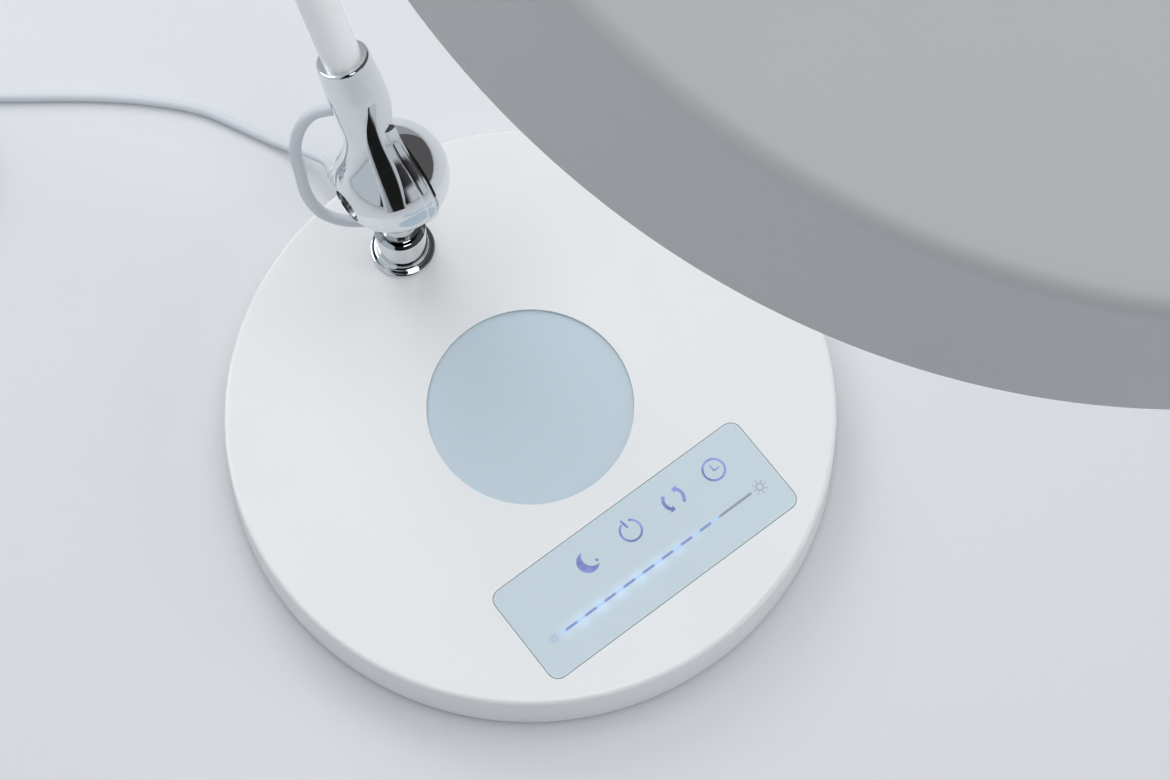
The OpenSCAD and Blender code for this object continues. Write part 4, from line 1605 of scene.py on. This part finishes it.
@dataclass
class PlugAdapter:
    """The plug-in adapter on the lead's far end.

    Attributes:
        entry: Where the lead goes in.
        size: Length, width and height of the case.
        groove: Where the parting groove is, as a share of the length from the middle, and its width.
        rounding: Radius of the case's edges.
        rounded: Least length and least angle, in radians, of an edge that is rounded.
        boot: Length of the sleeve round the lead.
        sleeve: Distance along the sleeve and radius of each ring.
        pin: Radius, length and spacing of the two pins.
        tip: Distance before a pin's end and share of its radius for each ring.
    """

    entry: Point = (-0.14186, 0.275535, 0.013)
    size: Point = (0.050, 0.034, 0.026)
    groove: Flat = (0.22, 0.0005)
    rounding: float = 0.0035
    rounded: Flat = (0.004, 1.0)
    boot: float = 0.008
    sleeve: tuple[Flat, ...] = ((0.0, 0.0023), (0.002, 0.0026), (0.0035, 0.0029), (0.006, 0.0034),
                                (0.009, 0.0036))
    pin: Point = (0.002, 0.018, 0.019)
    tip: tuple[Flat, ...] = ((0.0185, 1.0), (0.0018, 1.0), (0.0006, 0.82), (0.0, 0.45))

    def case(self, dresser: Dresser) -> Object:
        """A case with rounded edges, a parting groove and a sleeve for the lead.

        Args:
            dresser: Gives the finishes.

        Returns:
            The case.
        """
        shape = bmesh.new()
        length, width, height = self.size
        middle = Vector((self.entry[0] - self.boot - length / 2, self.entry[1], height / 2))
        bmesh.ops.create_cube(shape, size=1.0)
        for vert in shape.verts:
            x, y, z = vert.co
            vert.co = Vector((x * length, y * width, z * height)) + middle
        cut = bmesh.ops.bisect_plane(shape, geom=shape.verts[:] + shape.edges[:] + shape.faces[:],
                                     plane_co=middle + Vector((length * self.groove[0], 0, 0)),
                                     plane_no=(1, 0, 0))
        edges = [e for e in cut["geom_cut"] if isinstance(e, bmesh.types.BMEdge)]
        bmesh.ops.bevel(shape, geom=edges, offset=self.groove[1], segments=1, affect="EDGES")
        least, bend = self.rounded
        corners = [e for e in shape.edges
                   if e.calc_length() > least and e.is_manifold and e.calc_face_angle(0.0) > bend]
        bmesh.ops.bevel(shape, geom=corners, offset=self.rounding, segments=5, affect="EDGES")
        for face in shape.faces:
            face.smooth = True
        add_tube(shape, self.entry, self.sleeve)
        bmesh.ops.recalc_face_normals(shape, faces=shape.faces)
        return dresser.piece("adapter_case", as_mesh(shape, "adapter_case"), "base", "white_cover")

    def pins(self, dresser: Dresser) -> Object:
        """Two plain round pins with rounded tips.

        Args:
            dresser: Gives the finishes.

        Returns:
            Both pins as one piece.
        """
        shape = bmesh.new()
        radius, length, spacing = self.pin
        x, y, z = self.entry
        for side in (-1, 1):
            add_tube(shape, (x - self.boot - self.size[0], y + side * spacing / 2, z),
                     [(length - before, radius * share) for before, share in self.tip])
        bmesh.ops.recalc_face_normals(shape, faces=shape.faces)
        return dresser.piece("adapter_pins", as_mesh(shape, "adapter_pins"), "base", "fastener_steel")

    def build(self, dresser: Dresser) -> list[Object]:
        """Makes the case and its pins in place of the plain adapter.

        Args:
            dresser: Gives the finishes.

        Returns:
            The case and the pins.
        """
        case, pins = self.case(dresser), self.pins(dresser)
        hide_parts("adapter")
        return [case, pins]


# Studio

@dataclass(frozen=True)
class Softbox:
    """A square area light that looks at a point.

    Attributes:
        name: The light's name.
        place: Position.
        target: What it looks at.
        side: Side of the square.
        power: Power in watts.
    """

    name: str
    place: Point
    target: Point
    side: float
    power: float

    def build(self) -> None:
        """Makes the light."""
        data = bpy.data.lights.new(self.name, "AREA")
        data.shape = "SQUARE"
        data.size = self.side
        data.energy = self.power
        lamp = link(bpy.data.objects.new(self.name, data))
        way = Vector(self.target) - Vector(self.place)
        lamp.location = self.place
        lamp.visible_glossy = False
        lamp.rotation_euler = way.to_track_quat("-Z", "Y").to_euler()


@dataclass(frozen=True)
class Edge:
    """A soft edge in the room that metal sees.

    Attributes:
        way: Direction across the edge.
        low: How far the line of sight goes in that direction where the edge starts.
        high: How far it goes where the edge ends.
    """

    way: Point
    low: float
    high: float

    def mask(self, graph: Graph) -> Socket:
        """0 before the edge and 1 beyond it.

        Args:
            graph: The world's graph.

        Returns:
            The mask's socket.
        """
        sight = graph.add("ShaderNodeTexCoord").outputs["Generated"]
        far = graph.add("ShaderNodeVectorMath", {"operation": "DOT_PRODUCT"}, i0=sight, i1=self.way)
        return graph.ramp(far.outputs["Value"], self.low, self.high)


@dataclass(frozen=True)
class Studio:
    """Pale floor, soft lights and a plain room.

    Attributes:
        floor_colour: Colour of the floor.
        floor_half: Half of the floor's side.
        floor_drop: How far the floor lies under the lamp.
        backdrop: What the camera sees of the room.
        even: Light of the room on everything that isn't a mirror.
        walls: What metal sees on the left and on the right.
        walls_edge: Where the walls change.
        front: What metal sees low at the front.
        front_edges: Its left, right and upper edge.
        ceiling: What metal sees above, on the left and on the right.
        ceiling_edge: Where the ceiling changes.
        ceiling_edges: Its lower and its rear edge.
        strip: The bright strip behind the lamp.
        strip_edge: Its edge.
        boxes: The softboxes.
    """

    floor_colour: Colour = (0.73, 0.745, 0.765)
    floor_half: float = 6.0
    floor_drop: float = 0.0002
    backdrop: Colour = (0.86, 0.87, 0.88)
    even: Colour = (0.465, 0.485, 0.505)
    walls: tuple[Colour, Colour] = ((0.52, 0.56, 0.60), (0.34, 0.36, 0.38))
    walls_edge: Edge = Edge((1.0, 0.0, 0.0), -0.2, 0.6)
    front: Colour = (0.52, 0.55, 0.58)
    front_edges: tuple[Edge, ...] = (Edge((1.0, 0.0, 0.0), -0.15, 0.05),
                                     Edge((-1.0, 0.0, 0.0), -0.62, -0.5),
                                     Edge((0.0, 0.0, -1.0), -0.6, -0.35))
    ceiling: tuple[Colour, Colour] = ((0.012, 0.012, 0.012), (0.10, 0.098, 0.10))
    ceiling_edge: Edge = Edge((1.0, 0.0, 0.0), -0.3, 0.8)
    ceiling_edges: tuple[Edge, ...] = (Edge((0.466, -0.92, 1.0), 0.11, 0.18),
                                       Edge((0.795, -0.606, 0.0), -0.36, -0.27))
    strip: Colour = (4.0, 4.1, 4.2)
    strip_edge: Edge = Edge((-0.489084, 0.692869, 0.529841), 0.935, 0.965)
    boxes: tuple[Softbox, ...] = (
        Softbox("key_box", (-0.6, 1.0, 2.4), (0.0, 0.0, 0.1), 1.1, 7.0),
        Softbox("rear_box", (0.15, 1.1, 0.9), (0.0, 0.1, 0.05), 0.8, 6.0),
        Softbox("top_box", (0.9, 0.2, 2.0), (0.1, -0.1, 0.5), 1.2, 7.0),
        Softbox("front_box", (1.3, -1.1, 0.8), (0.0, 0.0, 0.1), 0.8, 5.0))

    def floor(self, dresser: Dresser) -> None:
        """A wide pale floor with faint clouds.

        Args:
            dresser: Gives the finishes.
        """
        shape = bmesh.new()
        bmesh.ops.create_grid(shape, x_segments=8, y_segments=8, size=self.floor_half)
        made = as_mesh(shape, "floor")
        floor = link(bpy.data.objects.new("floor", made))
        floor.location.z = -self.floor_drop
        made.materials.append(dresser.extra(Moulded("pale_table", self.floor_colour, 0.6, 0.05, 0.015,
                                                    grain=700.0, cloud=2.0)))

    def room(self) -> None:
        """An even pale room; metal sees a dark ceiling, pale walls and a bright strip in it."""
        world = bpy.data.worlds.new("studio_room")
        bpy.context.scene.world = world
        world.use_nodes = True
        world.node_tree.nodes.clear()
        graph = Graph(world.node_tree)
        front, above = (graph.times(*(edge.mask(graph) for edge in edges))
                        for edges in (self.front_edges, self.ceiling_edges))
        ceiling = graph.mix(self.ceiling_edge.mask(graph), *self.ceiling)
        walls = graph.mix(self.walls_edge.mask(graph), *self.walls)
        plain = graph.mix(above, walls, graph.mix(front, ceiling, self.front))
        mirrored = graph.mix(self.strip_edge.mask(graph), plain, self.strip)
        path = graph.add("ShaderNodeLightPath").outputs
        lit = graph.mix(path["Is Glossy Ray"], self.even, mirrored)
        seen = graph.mix(path["Is Camera Ray"], lit, self.backdrop)
        back = graph.add("ShaderNodeBackground", Color=seen, Strength=1.0)
        graph.add("ShaderNodeOutputWorld", Surface=back.outputs[0])

    def build(self, dresser: Dresser) -> None:
        """Sets the floor, the room and the lights.

        Args:
            dresser: Gives the finishes.
        """
        self.floor(dresser)
        self.room()
        for box in self.boxes:
            box.build()
        bpy.context.scene.view_settings.view_transform = "Standard"
        log.info("studio with %d softboxes", len(self.boxes))


def main() -> None:
    """Builds the camera, the cables, the trims, the marks, the small pieces and the studio."""
    PhotoCamera().build()
    dresser = Dresser()
    dresser.dress_frame()
    plug = PlugAdapter().build(dresser)
    PowerLead().build(dresser, [*plug, frame["nodes"]["coil_tie"]])
    for place in HingePlace:
        CableLoop(place).build(dresser)
    for place in HingePlace:
        LipBead(place).build(dresser)
        NeckFacet(place).build(dresser)
    TouchMarks(height=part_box("touch_panel")[1].z).build(dresser)
    ReliefRibs().build(dresser)
    LightHead().build(dresser)
    Studio().build(dresser)


if __name__ == "__main__":
    main()
